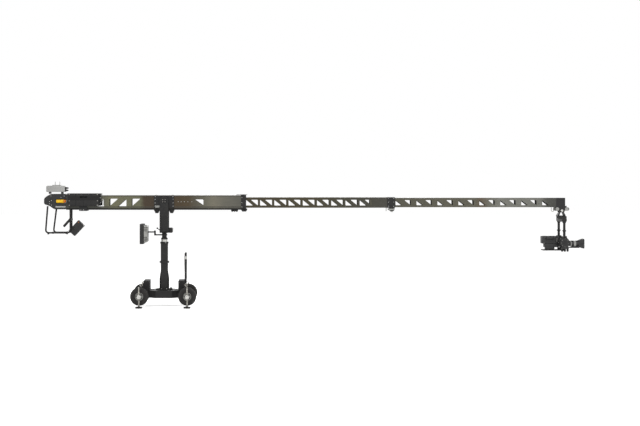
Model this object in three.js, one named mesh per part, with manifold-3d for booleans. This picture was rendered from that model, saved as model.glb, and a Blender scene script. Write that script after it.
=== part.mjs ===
// Telescoping camera crane on a four-wheeled column dolly, with a remote head, in millimetres.
// +X runs along the boom to the camera, -Y is the operator's side and +Z is up.
// The origin is the middle of the chassis underside, on the axis of the column.

import * as THREE from 'three';
import { mergeVertices } from 'three/addons/utils/BufferGeometryUtils.js';
import Module from 'manifold-3d';

const wasm = await Module();
wasm.setup();

// Shared fits: a turned or sliding fit, a cut's overrun, and the facets of round pieces
const runningGap = 0.3;
const cutOverrun = 5;
const coarseSides = 8;
const roundSides = 12;
const wheelSides = 20;
const bendSteps = 1;
const pipeSides = 6;
const pipeStepsPerLeg = 4;

// Chassis
const chassisFloorGap = 146;
const chassisHeight = 125;
const chassisLength = 660;
const chassisEndWidth = 220;
const chassisMiddleWidth = 470;
const chassisWideLength = 280;
const chassisWall = 8;
const drainRadius = 9;
const wheelBase = 800;
const wheelCentreHeight = 188;
const beamHeight = 60;
const beamDepth = 60;
const beamNeckWidth = 160;
const eyeRadius = 25;
const eyeWireRadius = 5;
const eyeWireSides = 4;
const eyeHeight = 367;
const eyeStemRadius = 7;
const eyeInset = 22;
const clampStemRadius = 9;
const clampStemHeight = 62;
const clampKnobRadius = 19;
const clampPlaceX = 118;

// Ballast boxes on the chassis ends
const ballastLength = 96;
const ballastWidth = 410;
const ballastHeight = 169;
const ballastChamfer = 22;
const ballastInnerX = 242;
const ballastLidLip = 6;

// Pedestal column
const pedestalFlangeRadius = 143;
const pedestalFlangeThickness = 18;
const pedestalFootWidth = 163;
const pedestalFootShare = 0.251;
const pedestalNeckWidth = 121;
const pedestalNeckShare = 0.425;
const pedestalChamfer = 24;
const pedestalRingRadius = 82;
const pedestalRingHeight = 30;
const pedestalRingShare = 0.602;
const collarRadius = 70;
const collarHeight = 32;
const bearingRingRadius = 54.5;
const bearingRingHeight = 41;
const spigotRadius = 33;
const spigotDepth = 60;

// Wheels
const tyreRadius = 152.5;
const tyreWidth = 92;
const tyreShoulder = 16;
const rimRadius = 64;
const rimFlange = 5;
const rimWidth = 72;
const rimDish = 20;
const rimWebThickness = 8;
const hubRadius = 30;
const axleRadius = 20;

// Axles and screw jacks at the axle ends
const jackBlockRadius = 36;
const jackBlockLength = 58;
const jackScrewRadius = 12.5;
const jackScrewTop = 352;
const jackHeadRadius = 9;
const jackHeadHeight = 26;
const jackBallHeight = 30;
const jackFootRadius = 59;
const jackFootHeight = 38;
const jackFootNeckRadius = 20;
const jackFootRim = 9;

// Steering
const kingpinTrack = 590;
const wheelOffset = 85;
const jackOffset = 110;
const kingpinRadius = 12;
const lugThickness = 13;
const lugRadius = 28;
const steerGap = 3;
const steerArmLength = 72;
const steerArmWidth = 26;
const steerArmThickness = 12;
const tiePinRadius = 7;
const tieRodRadius = 11;
const tieEyeRadius = 17;
const yokePlateThickness = 14;
const yokeWidth = 56;
const yokeLugThickness = 9;
const yokeLugHeight = 36;
const yokePinRadius = 8;
const tillerSetback = 38;
const tillerRadius = 19.5;
const tillerPinHeight = 255;
const tillerTop = 900;
const tillerHandleLength = 230;
const tillerHandleRadius = 15;
const tillerKnuckleHeight = 50;
const tillerKnuckleRadius = 25;

// Swivel post and tilt fork
const capRadius = 57;
const capHeight = 37;
const postRadius = 40;
const postHeight = 76;
const forkHeight = 545;
const forkFootHeight = 51;
const forkWidth = 150;
const forkArmThickness = 30;
const forkRibDepth = 7;
const forkRibWidth = 34;
const forkGap = 3.7;
const junctionLength = 67;
const junctionWidth = 110;
const junctionHeight = 87;
const junctionChamfer = 10;
const leverLength = 90;
const leverThickness = 12;
const leverWidth = 20;
const leverBossRadius = 16;
const leverBossHeight = 20;
const leverSlope = 36;

// Column monitor on its two-link arm
const armBarHeight = 22;
const armBarWidth = 30;
const armLowerReach = 150;
const armUpperReach = 128;
const armStep = 48;
const armPinRadius = 7;
const monitorHeight = 333;
const monitorWidth = 400;
const monitorSlab = 61;
const monitorDrop = 30;
const monitorBackDepth = 68;
const monitorBackChamfer = 42;
const monitorBezel = 14;
const monitorRecess = 5;
const monitorVentCount = 5;
const monitorVentHeight = 7;
const monitorVentDepth = 6;

// Boom sections. From here on, heights on the boom are measured from the tilt axis.
const tiltAxisHeight = 1783;
const boomLineHeight = -32.5;
const outerRearX = -1658;
const outerFrontX = 1302;
const outerHeight = 245;
const outerWidth = 200;
const outerWall = 6;
const outerRailHeight = 26;
const outerRailWidth = 40;
const middleLength = 2892;
const middleOverlap = 418;
const middleFrontX = outerFrontX - middleOverlap + middleLength;
const middleHeight = 177;
const middleGapBelow = 2;
const middleWidth = 150;
const middleWall = 5;
const innerLength = 3155;
const innerOverlap = 291;
const innerFrontX = middleFrontX - innerOverlap + innerLength;
const innerHeight = 159;
const innerWidth = 132;
const innerWall = 4.5;
const windowCornerRadius = 9;
const outerWindowHeight = 129;
const outerPitch = 377;
const outerBayShare = 0.761;
const outerStrutShare = 0.495;
const outerWindowStart = -1302;
const outerBayCount = 3;
const outerLoneWindowX = 520;
const outerLoneWindowLength = 144;
const outerLoneWindowHeight = 99;
const middleWindowHeight = 98;
const middleBayCount = 9;
const middleRearPlain = 500;
const middleLastBay = 464;
const middlePitch = (middleLength - middleRearPlain - middleLastBay) / (middleBayCount - 1);
const middleBayShare = 0.855;
const middleStrutShare = 0.413;
const innerWindowHeight = 87;
const innerBayCount = 8;
const innerRearPlain = 435;
const innerLastBay = 235;
const innerPitch = (innerLength - innerRearPlain - innerLastBay) / (innerBayCount - 1);
const innerBayShare = 0.732;
const innerStrutShare = 0.573;
const windowLineDrop = 3;

// Saddle that carries the boom in the fork
const saddleLength = 340;
const saddleHeight = 211;
const saddleThickness = 8;
const saddleFloor = 12;
const saddleLugLength = 88;
const saddleLugHeight = 46;
const saddleLugWidth = 150;
const trunnionRadius = 30;

// Collars and guide rollers
const frontCollarLength = 86;
const frontCollarThickness = 12;
const frontCollarHeight = 250;
const frontPlateThickness = 14;
const rollerHousingLength = 104;
const rollerHousingDrop = 62;
const rollerHousingWall = 10;
const rollerRadius = 24;
const rollerPinRadius = 8;
const rollerTip = 20;
const middleCollarLength = 133;
const middleCollarThickness = 9;
const middleHousingLength = 94;
const middleHousingDrop = 66;
const glideLength = 80;

// Moving counterweight
const carriageLength = 570;
const carriageFrontX = -1068;
const carriageTop = 122;
const carriageSidePlate = 10;
const carriageGap = 4;
const carriageSideHeight = 206;
const carriageShoeLength = 136;
const carriageShoeDrop = 19;
const carriageShoeOffset = 204;
const weightThickness = 88;
const weightHeight = 212;
const weightLength = 522;
const weightChamfer = 12;
const weightGripLength = 120;
const weightGripHeight = 30;
const weightGripDepth = 24;

// Tail housing, drive motor and radio receiver
const tailLength = 372;
const tailTop = 114;
const tailBottom = -147;
const tailWidth = 216;
const tailNoseHeight = 97;
const tailSlopeLength = 120;
const tailLowerSlope = 88;
const tailCornerRadius = 16;
const motorPocketLength = 172;
const motorPocketHeight = 66;
const motorPocketDepth = 58;
const motorPocketX = -1738;
const motorRadius = 27;
const motorLength = 112;
const motorFlangeRadius = 31;
const motorFlangeLength = 12;
const motorHeight = -10;
const radioLength = 306;
const radioWidth = 190;
const radioHeight = 104;
const radioCrownLength = 140;
const radioCrownHeight = 18;
const radioRearX = -1992;
const radioFoot = 30;
const radioFootWidth = 26;
const radioChamfer = 12;
const radioGrooveCount = 3;
const radioGrooveHeight = 7;
const radioGrooveDepth = 5;
const radioEndLength = 52;
const antennaRadius = 6;
const antennaHeight = 56;
const antennaSpacing = 76;

// Operator's frame, grip and console monitor under the tail
const frameTubeRadius = 14.5;
const frameHalfWidth = 92;
const frameBarHeight = -544;
const frameRearX = -2006;
const frameRearLean = 36;
const frameInnerX = -1899;
const frameInnerLean = 50;
const frameFrontX = -1587;
const frameBendRadius = 62;
const frameHubRise = 223;
const frameHubRadius = 26;
const frameHubLength = 40;
const gripRadius = 19.5;
const gripLength = 152;
const gripTilt = 48;
const gripRibCount = 4;
const gripRibDepth = 2.5;
const gripRibLength = 8;
const consoleScreenLength = 241;
const consoleWidth = 150;
const consoleDepth = 46;
const consoleHoodDepth = 92;
const consoleHoodWall = 5;
const consoleTilt = 47;
const consoleX = -1489;
const consoleRise = 77;
const consolePinRadius = 9;
const consolePinX = -1540;
const consolePinRise = 73;
const consolePlateThickness = 6;
const frameCrossX = -1880;
const frameCrossFrontX = -1660;
const tailNoseSlopeShare = 0.3;

// Nose fitting, levelling bracket and pan unit
const noseLength = 154;
const noseCheekThickness = 12;
const noseCheekTop = 170;
const noseCheekBottom = 72;
const noseCheekDrop = 86;
const levelAxisSetback = 102;
const levelAxisX = innerFrontX + levelAxisSetback;
const levelAxisHeight = -169;
const levelPinRadius = 12;
const levelBossRadius = 30;
const levelHornRadius = 30;
const levelHornSpread = 92;
const levelPlateHeight = -267;
const levelPlateThickness = 14;
const levelWidth = 100;
const panAxisSetback = 8;
const panAxisX = levelAxisX + panAxisSetback;
const panRadius = 86;
const panHeight = 34;

// Head frame, tilt motor and camera
const headBarLength = 188;
const headBarWidth = 380;
const headBarHeight = 50;
const headBarChamfer = 18;
const headLegSpacing = 124;
const headLegRadius = 19;
const headHalfWidth = 164;
const headClampRadius = 27;
const headClampHeight = 12;
const headClampShare = 0.62;
const headTiltHeight = -711;
const headCheekRadius = 92;
const headCheekThickness = 26;
const headCheekTop = 118;
const tiltPinRadius = 15;
const tiltMotorRadius = 78;
const tiltMotorLength = 44;
const tiltHubRadius = 20;
const tiltHubLength = 12;
const tiltKnobRadius = 14;
const tiltKnobLength = 34;
const cradlePlateLength = 330;
const cradlePlateThickness = 16;
const cradlePlateWidth = 150;
const cradleDrop = 118;
const cradleArmWidth = 60;
const cradleArmThickness = 12;
const cameraLength = 284;
const cameraLowerSetback = 43;
const cameraLowerBottom = -781;
const cameraLowerTop = -723;
const cameraFootSetback = 63;
const cameraBottom = -728;
const cameraWidth = 132;
const cameraHeight = 126;
const cameraSetback = 343;
const cameraRearX = panAxisX - cameraSetback;
const cameraAxisHeight = -731;
const cameraFootLength = 150;
const cameraChamfer = 20;
const lensRearSetback = 9;
const lensStartRadius = 36;
const lensStartLength = 190;
const lensBarrelRadius = 50;
const lensBarrelLength = 170;
const lensHousingDrop = 26;
const lensHousingLength = 104;
const matteLength = 84;
const matteRearSize = 112;
const matteFrontSize = 166;
const matteWall = 4;

// Solids

// Turns a closed three.js geometry into a solid, with its faces pointing out
function solid(geometry) {
  const bare = geometry.clone();
  bare.deleteAttribute('normal');
  bare.deleteAttribute('uv');
  const merged = mergeVertices(bare, 1e-4);
  const places = merged.attributes.position.array;
  const corners = [];
  let volume = 0;
  const point = (i) => new THREE.Vector3().fromArray(places, 3 * i);
  for (let t = 0; t < merged.index.count; t += 3) {
    const [a, b, c] = [0, 1, 2].map((k) => merged.index.getX(t + k));
    if (a === b || b === c || c === a) continue;
    corners.push([a, b, c]);
    volume += point(a).dot(point(b).cross(point(c)));
  }
  const outward = corners.map(([a, b, c]) => (volume > 0 ? [a, b, c] : [a, c, b]));
  const triVerts = new Uint32Array(outward.flat());
  return new wasm.Manifold(new wasm.Mesh({ numProp: 3, vertProperties: places, triVerts }));
}

const join = (...solids) => solids.reduce((whole, next) => whole.add(next));
const cut = (whole, ...tools) => tools.reduce((rest, tool) => rest.subtract(tool), whole);

function box(sizeX, sizeY, sizeZ, x = 0, y = 0, z = 0) {
  return solid(new THREE.BoxGeometry(sizeX, sizeY, sizeZ).translate(x, y, z));
}

// A round bar, or a cone where endRadius differs, centred on its place and along the named axis
function bar(axis, radius, length, x = 0, y = 0, z = 0, sides = roundSides, endRadius = radius) {
  const geometry = new THREE.CylinderGeometry(endRadius, radius, length, sides);
  if (axis === 'x') geometry.rotateZ(-Math.PI / 2);
  if (axis === 'z') geometry.rotateX(Math.PI / 2);
  return solid(geometry.translate(x, y, z));
}

// The corner radius of a faceted bore whose flats clear a round bar by the running gap
function clear(radius, sides = roundSides) {
  return (radius + runningGap) / Math.cos(Math.PI / sides);
}

// The cut of a bore that clears a round bar. It is turned by half a side, so the bar's corners
// lie at the middle of the bore's flats.
function bore(axis, radius, length, x = 0, y = 0, z = 0, sides = roundSides) {
  const turn = ['x', 'y', 'z'].map((name) => (name === axis ? 180 / sides : 0));
  return bar(axis, clear(radius, sides), length, 0, 0, 0, sides).rotate(turn).translate([x, y, z]);
}

// A profile of [radius, height] points turned about Z
function turned(profile, sides = roundSides) {
  const points = profile.map(([radius, height]) => new THREE.Vector2(radius, height));
  return solid(new THREE.LatheGeometry(points, sides).rotateX(Math.PI / 2));
}

// An outline whose corners are rounded by one radius
function rounded(points, radius) {
  const shape = new THREE.Shape();
  points.forEach(([x, y], i) => {
    const corner = new THREE.Vector2(x, y);
    const before = new THREE.Vector2(...points.at(i - 1));
    const after = new THREE.Vector2(...points[(i + 1) % points.length]);
    const reach = Math.min(radius, corner.distanceTo(before) / 2, corner.distanceTo(after) / 2);
    const start = corner.clone().add(before.sub(corner).setLength(reach));
    const end = corner.clone().add(after.sub(corner).setLength(reach));
    if (i === 0) shape.moveTo(start.x, start.y);
    else shape.lineTo(start.x, start.y);
    shape.quadraticCurveTo(x, y, end.x, end.y);
  });
  shape.closePath();
  return shape;
}

const outline = (points) => new THREE.Shape(points.map(([x, y]) => new THREE.Vector2(x, y)));

// A side-view outline in X and Z, as thick as given across Y and centred on y
function plate(shape, thickness, y = 0) {
  const settings = { depth: thickness, bevelEnabled: false, curveSegments: bendSteps };
  const geometry = new THREE.ExtrudeGeometry(shape, settings);
  return solid(geometry.rotateX(Math.PI / 2).translate(0, y + thickness / 2, 0));
}

// An end-view outline in Y and Z, carried along X from x
function beam(shape, length, x = 0) {
  const settings = { depth: length, bevelEnabled: false, curveSegments: bendSteps };
  const geometry = new THREE.ExtrudeGeometry(shape, settings);
  return solid(geometry.rotateZ(Math.PI / 2).rotateY(Math.PI / 2).translate(x, 0, 0));
}

// A plan outline in X and Y, raised from z
function slab(shape, height, z = 0) {
  const settings = { depth: height, bevelEnabled: false, curveSegments: bendSteps };
  return solid(new THREE.ExtrudeGeometry(shape, settings).translate(0, 0, z));
}

// A round tube along points joined by straight runs and rounded bends
function pipe(points, radius, bendRadius, sides = pipeSides) {
  const path = new THREE.CurvePath();
  const places = points.map((place) => new THREE.Vector3(...place));
  let last = places[0];
  places.slice(1, -1).forEach((corner, i) => {
    const start = corner.clone().add(places[i].clone().sub(corner).setLength(bendRadius));
    const end = corner.clone().add(places[i + 2].clone().sub(corner).setLength(bendRadius));
    path.add(new THREE.LineCurve3(last, start));
    path.add(new THREE.QuadraticBezierCurve3(start, corner, end));
    last = end;
  });
  path.add(new THREE.LineCurve3(last, places.at(-1)));
  const rim = Array.from({ length: sides }, (_, i) => {
    const angle = (2 * Math.PI * (i + 0.5)) / sides;
    return [radius * Math.cos(angle), radius * Math.sin(angle)];
  });
  const steps = pipeStepsPerLeg * (points.length - 1);
  const settings = { steps, extrudePath: path, bevelEnabled: false };
  return solid(new THREE.ExtrudeGeometry(outline(rim), settings));
}

// A solid carried through rings of the same number of points, each ring a list of [x, y, z]
function loft(rings) {
  const count = rings[0].length;
  const corners = rings.flat(2);
  const faces = [];
  for (let r = 0; r < rings.length - 1; r += 1) {
    for (let i = 0; i < count; i += 1) {
      const [a, b] = [r * count + i, r * count + ((i + 1) % count)];
      faces.push(a, b, b + count, a, b + count, a + count);
    }
  }
  const top = (rings.length - 1) * count;
  for (let i = 1; i < count - 1; i += 1) {
    faces.push(0, i + 1, i);
    faces.push(top, top + i, top + i + 1);
  }
  const geometry = new THREE.BufferGeometry();
  geometry.setAttribute('position', new THREE.Float32BufferAttribute(corners, 3));
  geometry.setIndex(faces);
  return solid(geometry);
}

// A rectangle of given width and height whose corners are cut off, as [a, b] points
function chamfered(width, height, chamfer) {
  const [w, h] = [width / 2, height / 2];
  return [
    [w, h - chamfer], [w - chamfer, h], [chamfer - w, h], [-w, h - chamfer],
    [-w, chamfer - h], [chamfer - w, -h], [w - chamfer, -h], [w, chamfer - h],
  ];
}

const shifted = (points, a, b) => points.map(([p, q]) => [p + a, q + b]);

// Materials

const finishes = {
  blackPaint: [0x2e2e2f, 0.55, 0.2],
  blackSteel: [0x262626, 0.45, 0.6],
  tyreRubber: [0x303030, 0.9, 0],
  wheelRim: [0x9a9a9a, 0.4, 0.8],
  brightSteel: [0xb4b4b4, 0.3, 0.9],
  silverRing: [0xc8c8c8, 0.35, 0.9],
  oliveAnodised: [0x5c5a46, 0.45, 0.7],
  greyAnodised: [0x6c6d5f, 0.45, 0.7],
  radioGrey: [0xb2b2b2, 0.5, 0.3],
  yellowPaint: [0xd9b21a, 0.4, 0.1],
  blackPlastic: [0x2b2b2b, 0.6, 0],
  lensGrey: [0x5b5b5b, 0.4, 0.3],
};

const crane = new THREE.Group();

// Adds one named sub-part to a group
function piece(group, name, shape, finish, x = 0, y = 0, z = 0) {
  const [color, roughness, metalness] = finishes[finish];
  const mesh = shape.getMesh();
  const geometry = new THREE.BufferGeometry();
  geometry.setAttribute('position', new THREE.BufferAttribute(mesh.vertProperties, 3));
  geometry.setIndex(new THREE.BufferAttribute(mesh.triVerts, 1));
  geometry.computeVertexNormals();
  const material = new THREE.MeshStandardMaterial({ color, roughness, metalness });
  const part = new THREE.Mesh(geometry, material);
  part.name = name;
  part.position.set(x, y, z);
  group.add(part);
  return part;
}

function subgroup(parent, x = 0, y = 0, z = 0) {
  const group = new THREE.Group();
  group.position.set(x, y, z);
  parent.add(group);
  return group;
}

const sides = [['near', -1], ['far', 1]];
const ends = [['rear', -1], ['front', 1]];
const axleHeight = wheelCentreHeight - chassisFloorGap;
const floorLevel = -chassisFloorGap;

// Chassis: a hollow lozenge box with a cross member at each end, lifting eyes and a clamp knob
const crossMemberHalf = kingpinTrack / 2 - lugRadius - steerGap;

function chassisPlan(inset) {
  const [end, wide] = [chassisLength / 2 - inset, chassisWideLength / 2];
  const [narrow, middle] = [chassisEndWidth / 2 - inset, chassisMiddleWidth / 2 - inset];
  return outline([
    [end, narrow], [wide, middle], [-wide, middle], [-end, narrow],
    [-end, -narrow], [-wide, -middle], [wide, -middle], [end, -narrow],
  ]);
}

function liftingEye(y) {
  const foot = axleHeight + beamHeight / 2;
  const top = eyeHeight - chassisFloorGap;
  const ring = new THREE.TorusGeometry(eyeRadius - eyeWireRadius, eyeWireRadius, eyeWireSides, coarseSides);
  ring.rotateX(Math.PI / 2).translate(0, y, top);
  const stemTop = top - eyeRadius + 2 * eyeWireRadius;
  const stem = bar('z', eyeStemRadius, stemTop - foot + runningGap, 0, y,
    (stemTop + foot - runningGap) / 2, coarseSides);
  return join(solid(ring), stem);
}

const eyePlaceX = wheelBase / 2 - eyeInset;
const eyePlaceY = crossMemberHalf - 2 * eyeStemRadius;
let chassis = slab(chassisPlan(0), chassisHeight);
const chassisHollow = slab(chassisPlan(chassisWall), chassisHeight - 2 * chassisWall, chassisWall);
const drainHole = bar('z', drainRadius, 2 * chassisWall + cutOverrun, -clampPlaceX, 0, 0, coarseSides);
chassis = cut(chassis, chassisHollow, drainHole);
for (const [, end] of ends) {
  const neckLength = (wheelBase - chassisLength - beamDepth) / 2;
  const neckX = end * (chassisLength + neckLength) / 2;
  chassis = join(chassis, box(neckLength, beamNeckWidth, beamHeight, neckX, 0, axleHeight));
  if (end > 0) {
    const member = box(beamDepth, 2 * crossMemberHalf, beamHeight, wheelBase / 2, 0, axleHeight);
    chassis = join(chassis, member);
    for (const [, side] of sides) {
      const middle = (crossMemberHalf + kingpinTrack / 2) / 2;
      const reach = kingpinTrack / 2 - crossMemberHalf + cutOverrun;
      for (const lift of [-1, 1]) {
        const z = axleHeight + lift * (beamHeight - lugThickness) / 2;
        const lug = join(
          box(2 * lugRadius, reach, lugThickness, wheelBase / 2, side * middle, z),
          bar('z', lugRadius, lugThickness, wheelBase / 2, side * kingpinTrack / 2, z, coarseSides),
        );
        chassis = join(chassis, lug);
      }
      const hole = bore('z', kingpinRadius, beamHeight + cutOverrun,
        wheelBase / 2, side * kingpinTrack / 2, axleHeight, coarseSides);
      chassis = cut(chassis, hole);
      chassis = join(chassis, liftingEye(side * eyePlaceY).translate([eyePlaceX, 0, 0]));
    }
  }
}
const clampFoot = chassisHeight - runningGap;
chassis = join(
  chassis,
  bar('z', clampStemRadius, clampStemHeight + runningGap, clampPlaceX, -chassisEndWidth / 2,
    clampFoot + clampStemHeight / 2, coarseSides),
  bar('y', clampKnobRadius, clampKnobRadius, clampPlaceX, -chassisEndWidth / 2,
    clampFoot + clampStemHeight / 2, coarseSides),
);
// The steering yoke turns on a pin that stands up from the front cross member
const memberTop = axleHeight + beamHeight / 2;
const yokeTop = memberTop + runningGap + yokePlateThickness;
const yokePin = bar('z', yokePinRadius, yokePlateThickness + 3 * runningGap,
  wheelBase / 2, 0, memberTop + (yokePlateThickness + runningGap) / 2, coarseSides);
chassis = join(chassis, yokePin);
piece(crane, 'chassis_frame', chassis, 'blackPaint');

// Ballast boxes stand on the chassis ends, with a lid lip and one outer edge cut off
for (const [end, way] of ends) {
  const [x0, x1] = [ballastInnerX, ballastInnerX + ballastLength];
  const profile = [
    [x0, 0], [x1, 0], [x1, ballastHeight - ballastChamfer],
    [x1 - ballastChamfer, ballastHeight], [x0, ballastHeight],
  ].map(([x, z]) => [way * x, z]);
  const lid = box(ballastLength - 2 * ballastChamfer, ballastWidth - 2 * ballastChamfer, ballastLidLip,
    way * (x0 + (ballastLength - ballastChamfer) / 2), 0, ballastHeight + ballastLidLip / 2 - runningGap);
  const body = join(plate(outline(profile), ballastWidth), lid);
  piece(crane, `ballast_box_${end}`, body, 'blackPaint', 0, 0, chassisHeight);
}

// The pedestal is a square column with cut corners: a flange, a foot, a taper, a ring and a neck.
// Its height is what the swivel and the fork leave below the tilt axis.
const swivelHeight = collarHeight + bearingRingHeight + capHeight + postHeight + forkHeight;
const pedestalHeight = tiltAxisHeight - chassisFloorGap - chassisHeight - swivelHeight;
function columnRing(width, z) {
  return chamfered(width, width, pedestalChamfer).map(([x, y]) => [x, y, z]);
}

const pedestalBody = loft([
  columnRing(pedestalFootWidth, 0),
  columnRing(pedestalFootWidth, pedestalHeight * pedestalFootShare),
  columnRing(pedestalNeckWidth, pedestalHeight * pedestalNeckShare),
  columnRing(pedestalNeckWidth, pedestalHeight),
]);
const pedestalBore = bore('z', spigotRadius, spigotDepth + cutOverrun, 0, 0,
  pedestalHeight + (cutOverrun - spigotDepth) / 2);
const pedestal = cut(
  join(
    bar('z', pedestalFlangeRadius, pedestalFlangeThickness, 0, 0, pedestalFlangeThickness / 2, wheelSides),
    pedestalBody,
    bar('z', pedestalRingRadius, pedestalRingHeight, 0, 0, pedestalHeight * pedestalRingShare, wheelSides),
  ),
  pedestalBore,
);
piece(crane, 'pedestal', pedestal, 'blackPaint', 0, 0, chassisHeight);

const pedestalTop = chassisHeight + pedestalHeight;
const collar = cut(
  bar('z', collarRadius, collarHeight, 0, 0, collarHeight / 2, wheelSides),
  bore('z', spigotRadius, collarHeight + 2 * cutOverrun, 0, 0, collarHeight / 2),
);
piece(crane, 'pedestal_collar', collar, 'blackSteel', 0, 0, pedestalTop);

const ring = bar('z', bearingRingRadius, bearingRingHeight, 0, 0, bearingRingHeight / 2);
const ringBore = bore('z', spigotRadius, bearingRingHeight + cutOverrun, 0, 0,
  bearingRingHeight / 2);
piece(crane, 'bearing_ring', cut(ring, ringBore), 'silverRing', 0, 0, pedestalTop + collarHeight);

// Axles: a spindle through the wheel, with a block at its end that holds the jack's screw
const wheelY = kingpinTrack / 2 + wheelOffset;
const jackY = wheelY + jackOffset;
const spindleCollarRadius = hubRadius - rimFlange;

function spindle(fromY) {
  const [inner, outer] = [wheelY - rimWidth / 2 - runningGap, wheelY + rimWidth / 2 + runningGap];
  const blockInner = jackY - jackBlockLength / 2;
  return cut(
    join(
      bar('y', spindleCollarRadius, inner - fromY, 0, (inner + fromY) / 2, 0, coarseSides),
      bar('y', axleRadius, blockInner - fromY, 0, (blockInner + fromY) / 2, 0, coarseSides),
      bar('y', spindleCollarRadius, blockInner - outer, 0, (blockInner + outer) / 2, 0, coarseSides),
      bar('y', jackBlockRadius, jackBlockLength, 0, jackY, 0, coarseSides),
    ),
    bore('z', jackScrewRadius, 2 * jackBlockRadius + cutOverrun, 0, jackY, 0, coarseSides),
  );
}

const axleBeamHalf = crossMemberHalf + lugRadius;
let rearAxle = box(beamDepth, 2 * axleBeamHalf, beamHeight);
for (const [, side] of sides) {
  const half = spindle(axleBeamHalf - runningGap);
  rearAxle = join(rearAxle, side > 0 ? half : half.mirror([0, 1, 0]));
  const eye = liftingEye(side * eyePlaceY).translate([wheelBase / 2 - eyePlaceX, 0, -axleHeight]);
  rearAxle = join(rearAxle, eye);
}
piece(crane, 'rear_axle', rearAxle, 'blackPaint', -wheelBase / 2, 0, axleHeight);

// Steering knuckles: a kingpin between the cross member's lugs, a spindle and an arm
const knuckleHeight = beamHeight - 2 * lugThickness - 2 * runningGap;
const knuckleNeckEnd = wheelY - rimWidth / 2 - runningGap - 2 * rimFlange;
const tieHeight = steerArmThickness / 2 + runningGap + tieRodRadius;

function knuckle(side) {
  const kingpinY = kingpinTrack / 2;
  const neckLength = knuckleNeckEnd - kingpinY;
  const pinTop = tieHeight + tieRodRadius;
  const half = join(
    spindle(knuckleNeckEnd - runningGap),
    box(2 * axleRadius, neckLength, knuckleHeight, 0, kingpinY + neckLength / 2, 0),
    bar('z', axleRadius, knuckleHeight, 0, kingpinY, 0, coarseSides),
    bar('z', kingpinRadius, beamHeight, 0, kingpinY, 0, coarseSides),
    box(steerArmLength, steerArmWidth, steerArmThickness, steerArmLength / 2, kingpinY, 0),
    bar('z', steerArmWidth / 2, steerArmThickness, steerArmLength, kingpinY, 0, coarseSides),
    bar('z', tiePinRadius, pinTop, steerArmLength, kingpinY, pinTop / 2, coarseSides),
  );
  return side > 0 ? half : half.mirror([0, 1, 0]);
}

for (const [name, side] of sides) {
  piece(crane, `steering_knuckle_${name}`, knuckle(side), 'blackSteel', wheelBase / 2, 0, axleHeight);
}

// The tie rod joins both arms and the yoke of the steering pole, each through an eye
const eyeYs = [-kingpinTrack / 2, 0, kingpinTrack / 2];
let tieRod = bar('y', tieRodRadius, kingpinTrack, 0, 0, 0, coarseSides);
for (const y of eyeYs) tieRod = join(tieRod, bar('z', tieEyeRadius, 2 * tieRodRadius, 0, y, 0, coarseSides));
for (const y of eyeYs) {
  const hole = bore('z', tiePinRadius, 2 * tieRodRadius + cutOverrun, 0, y, 0, coarseSides);
  tieRod = cut(tieRod, hole);
}
piece(crane, 'tie_rod', tieRod, 'blackSteel', wheelBase / 2 + steerArmLength, 0, axleHeight + tieHeight);

// Steering yoke on the cross member's pin, with lugs for the pole behind the pin
const yokeBase = memberTop + runningGap;
const yokeRear = -(tillerSetback + tillerRadius);
const yokeOutline = outline([
  [yokeRear, -yokeWidth / 2], [0, -yokeWidth / 2],
  [steerArmLength + tieEyeRadius, -tieEyeRadius], [steerArmLength + tieEyeRadius, tieEyeRadius],
  [0, yokeWidth / 2], [yokeRear, yokeWidth / 2],
]);
const tillerPinZ = tillerPinHeight - chassisFloorGap - yokeBase;
const yokeLugY = tillerRadius + runningGap + yokeLugThickness / 2;
const yokeDrop = yokeBase - (axleHeight + tieHeight - tieRodRadius);
const yokeLugTop = tillerPinZ + yokePinRadius + yokePlateThickness / 3;
const yokeHole = bore('z', yokePinRadius, 2 * yokePlateThickness, 0, 0, 0, coarseSides);
let yoke = join(
  cut(slab(yokeOutline, yokePlateThickness), yokeHole.translate([0, 0, yokePlateThickness / 2])),
  bar('z', tiePinRadius, yokeDrop + runningGap, steerArmLength, 0, (runningGap - yokeDrop) / 2, coarseSides),
  bar('y', yokePinRadius, 2 * yokeLugY, -tillerSetback, 0, tillerPinZ, coarseSides),
);
for (const [, side] of sides) {
  const lug = box(yokeLugHeight, yokeLugThickness, yokeLugTop, -tillerSetback, side * yokeLugY, yokeLugTop / 2);
  yoke = join(yoke, lug);
}
piece(crane, 'steering_yoke', yoke, 'blackPaint', wheelBase / 2, 0, yokeBase);

// Steering pole: an eye on the yoke's pin, a tube, a bright clamp and a T-handle
const tillerLength = tillerTop - tillerPinHeight - tillerHandleRadius;
const tiller = cut(
  join(
    bar('y', tillerRadius, 2 * tillerRadius, 0, 0, 0),
    bar('z', tillerRadius, tillerLength, 0, 0, tillerLength / 2),
    bar('z', tillerKnuckleRadius, tillerKnuckleHeight, 0, 0, tillerLength - tillerKnuckleHeight),
    bar('y', tillerHandleRadius, tillerHandleLength, 0, 0, tillerLength, coarseSides),
  ),
  bore('y', yokePinRadius, 2 * tillerRadius + cutOverrun, 0, 0, 0, coarseSides),
);
piece(crane, 'steering_pole', tiller, 'blackPaint', wheelBase / 2 - tillerSetback, 0,
  tillerPinHeight - chassisFloorGap);

// Wheels: a tyre on a dished rim, both turned about the axle
const beadHalf = rimWidth / 2 - rimFlange - runningGap;
const tyreSeat = clear(rimRadius, wheelSides);
const tyreBulge = (tyreRadius + tyreSeat) / 2;
const tyre = turned([
  [tyreSeat, -beadHalf], [tyreBulge, -tyreWidth / 2],
  [tyreRadius - tyreShoulder, tyreShoulder / 3 - tyreWidth / 2], [tyreRadius, tyreShoulder - tyreWidth / 2],
  [tyreRadius, tyreWidth / 2 - tyreShoulder], [tyreRadius - tyreShoulder, tyreWidth / 2 - tyreShoulder / 3],
  [tyreBulge, tyreWidth / 2], [tyreSeat, beadHalf],
  [tyreSeat, -beadHalf],
], wheelSides);

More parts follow.
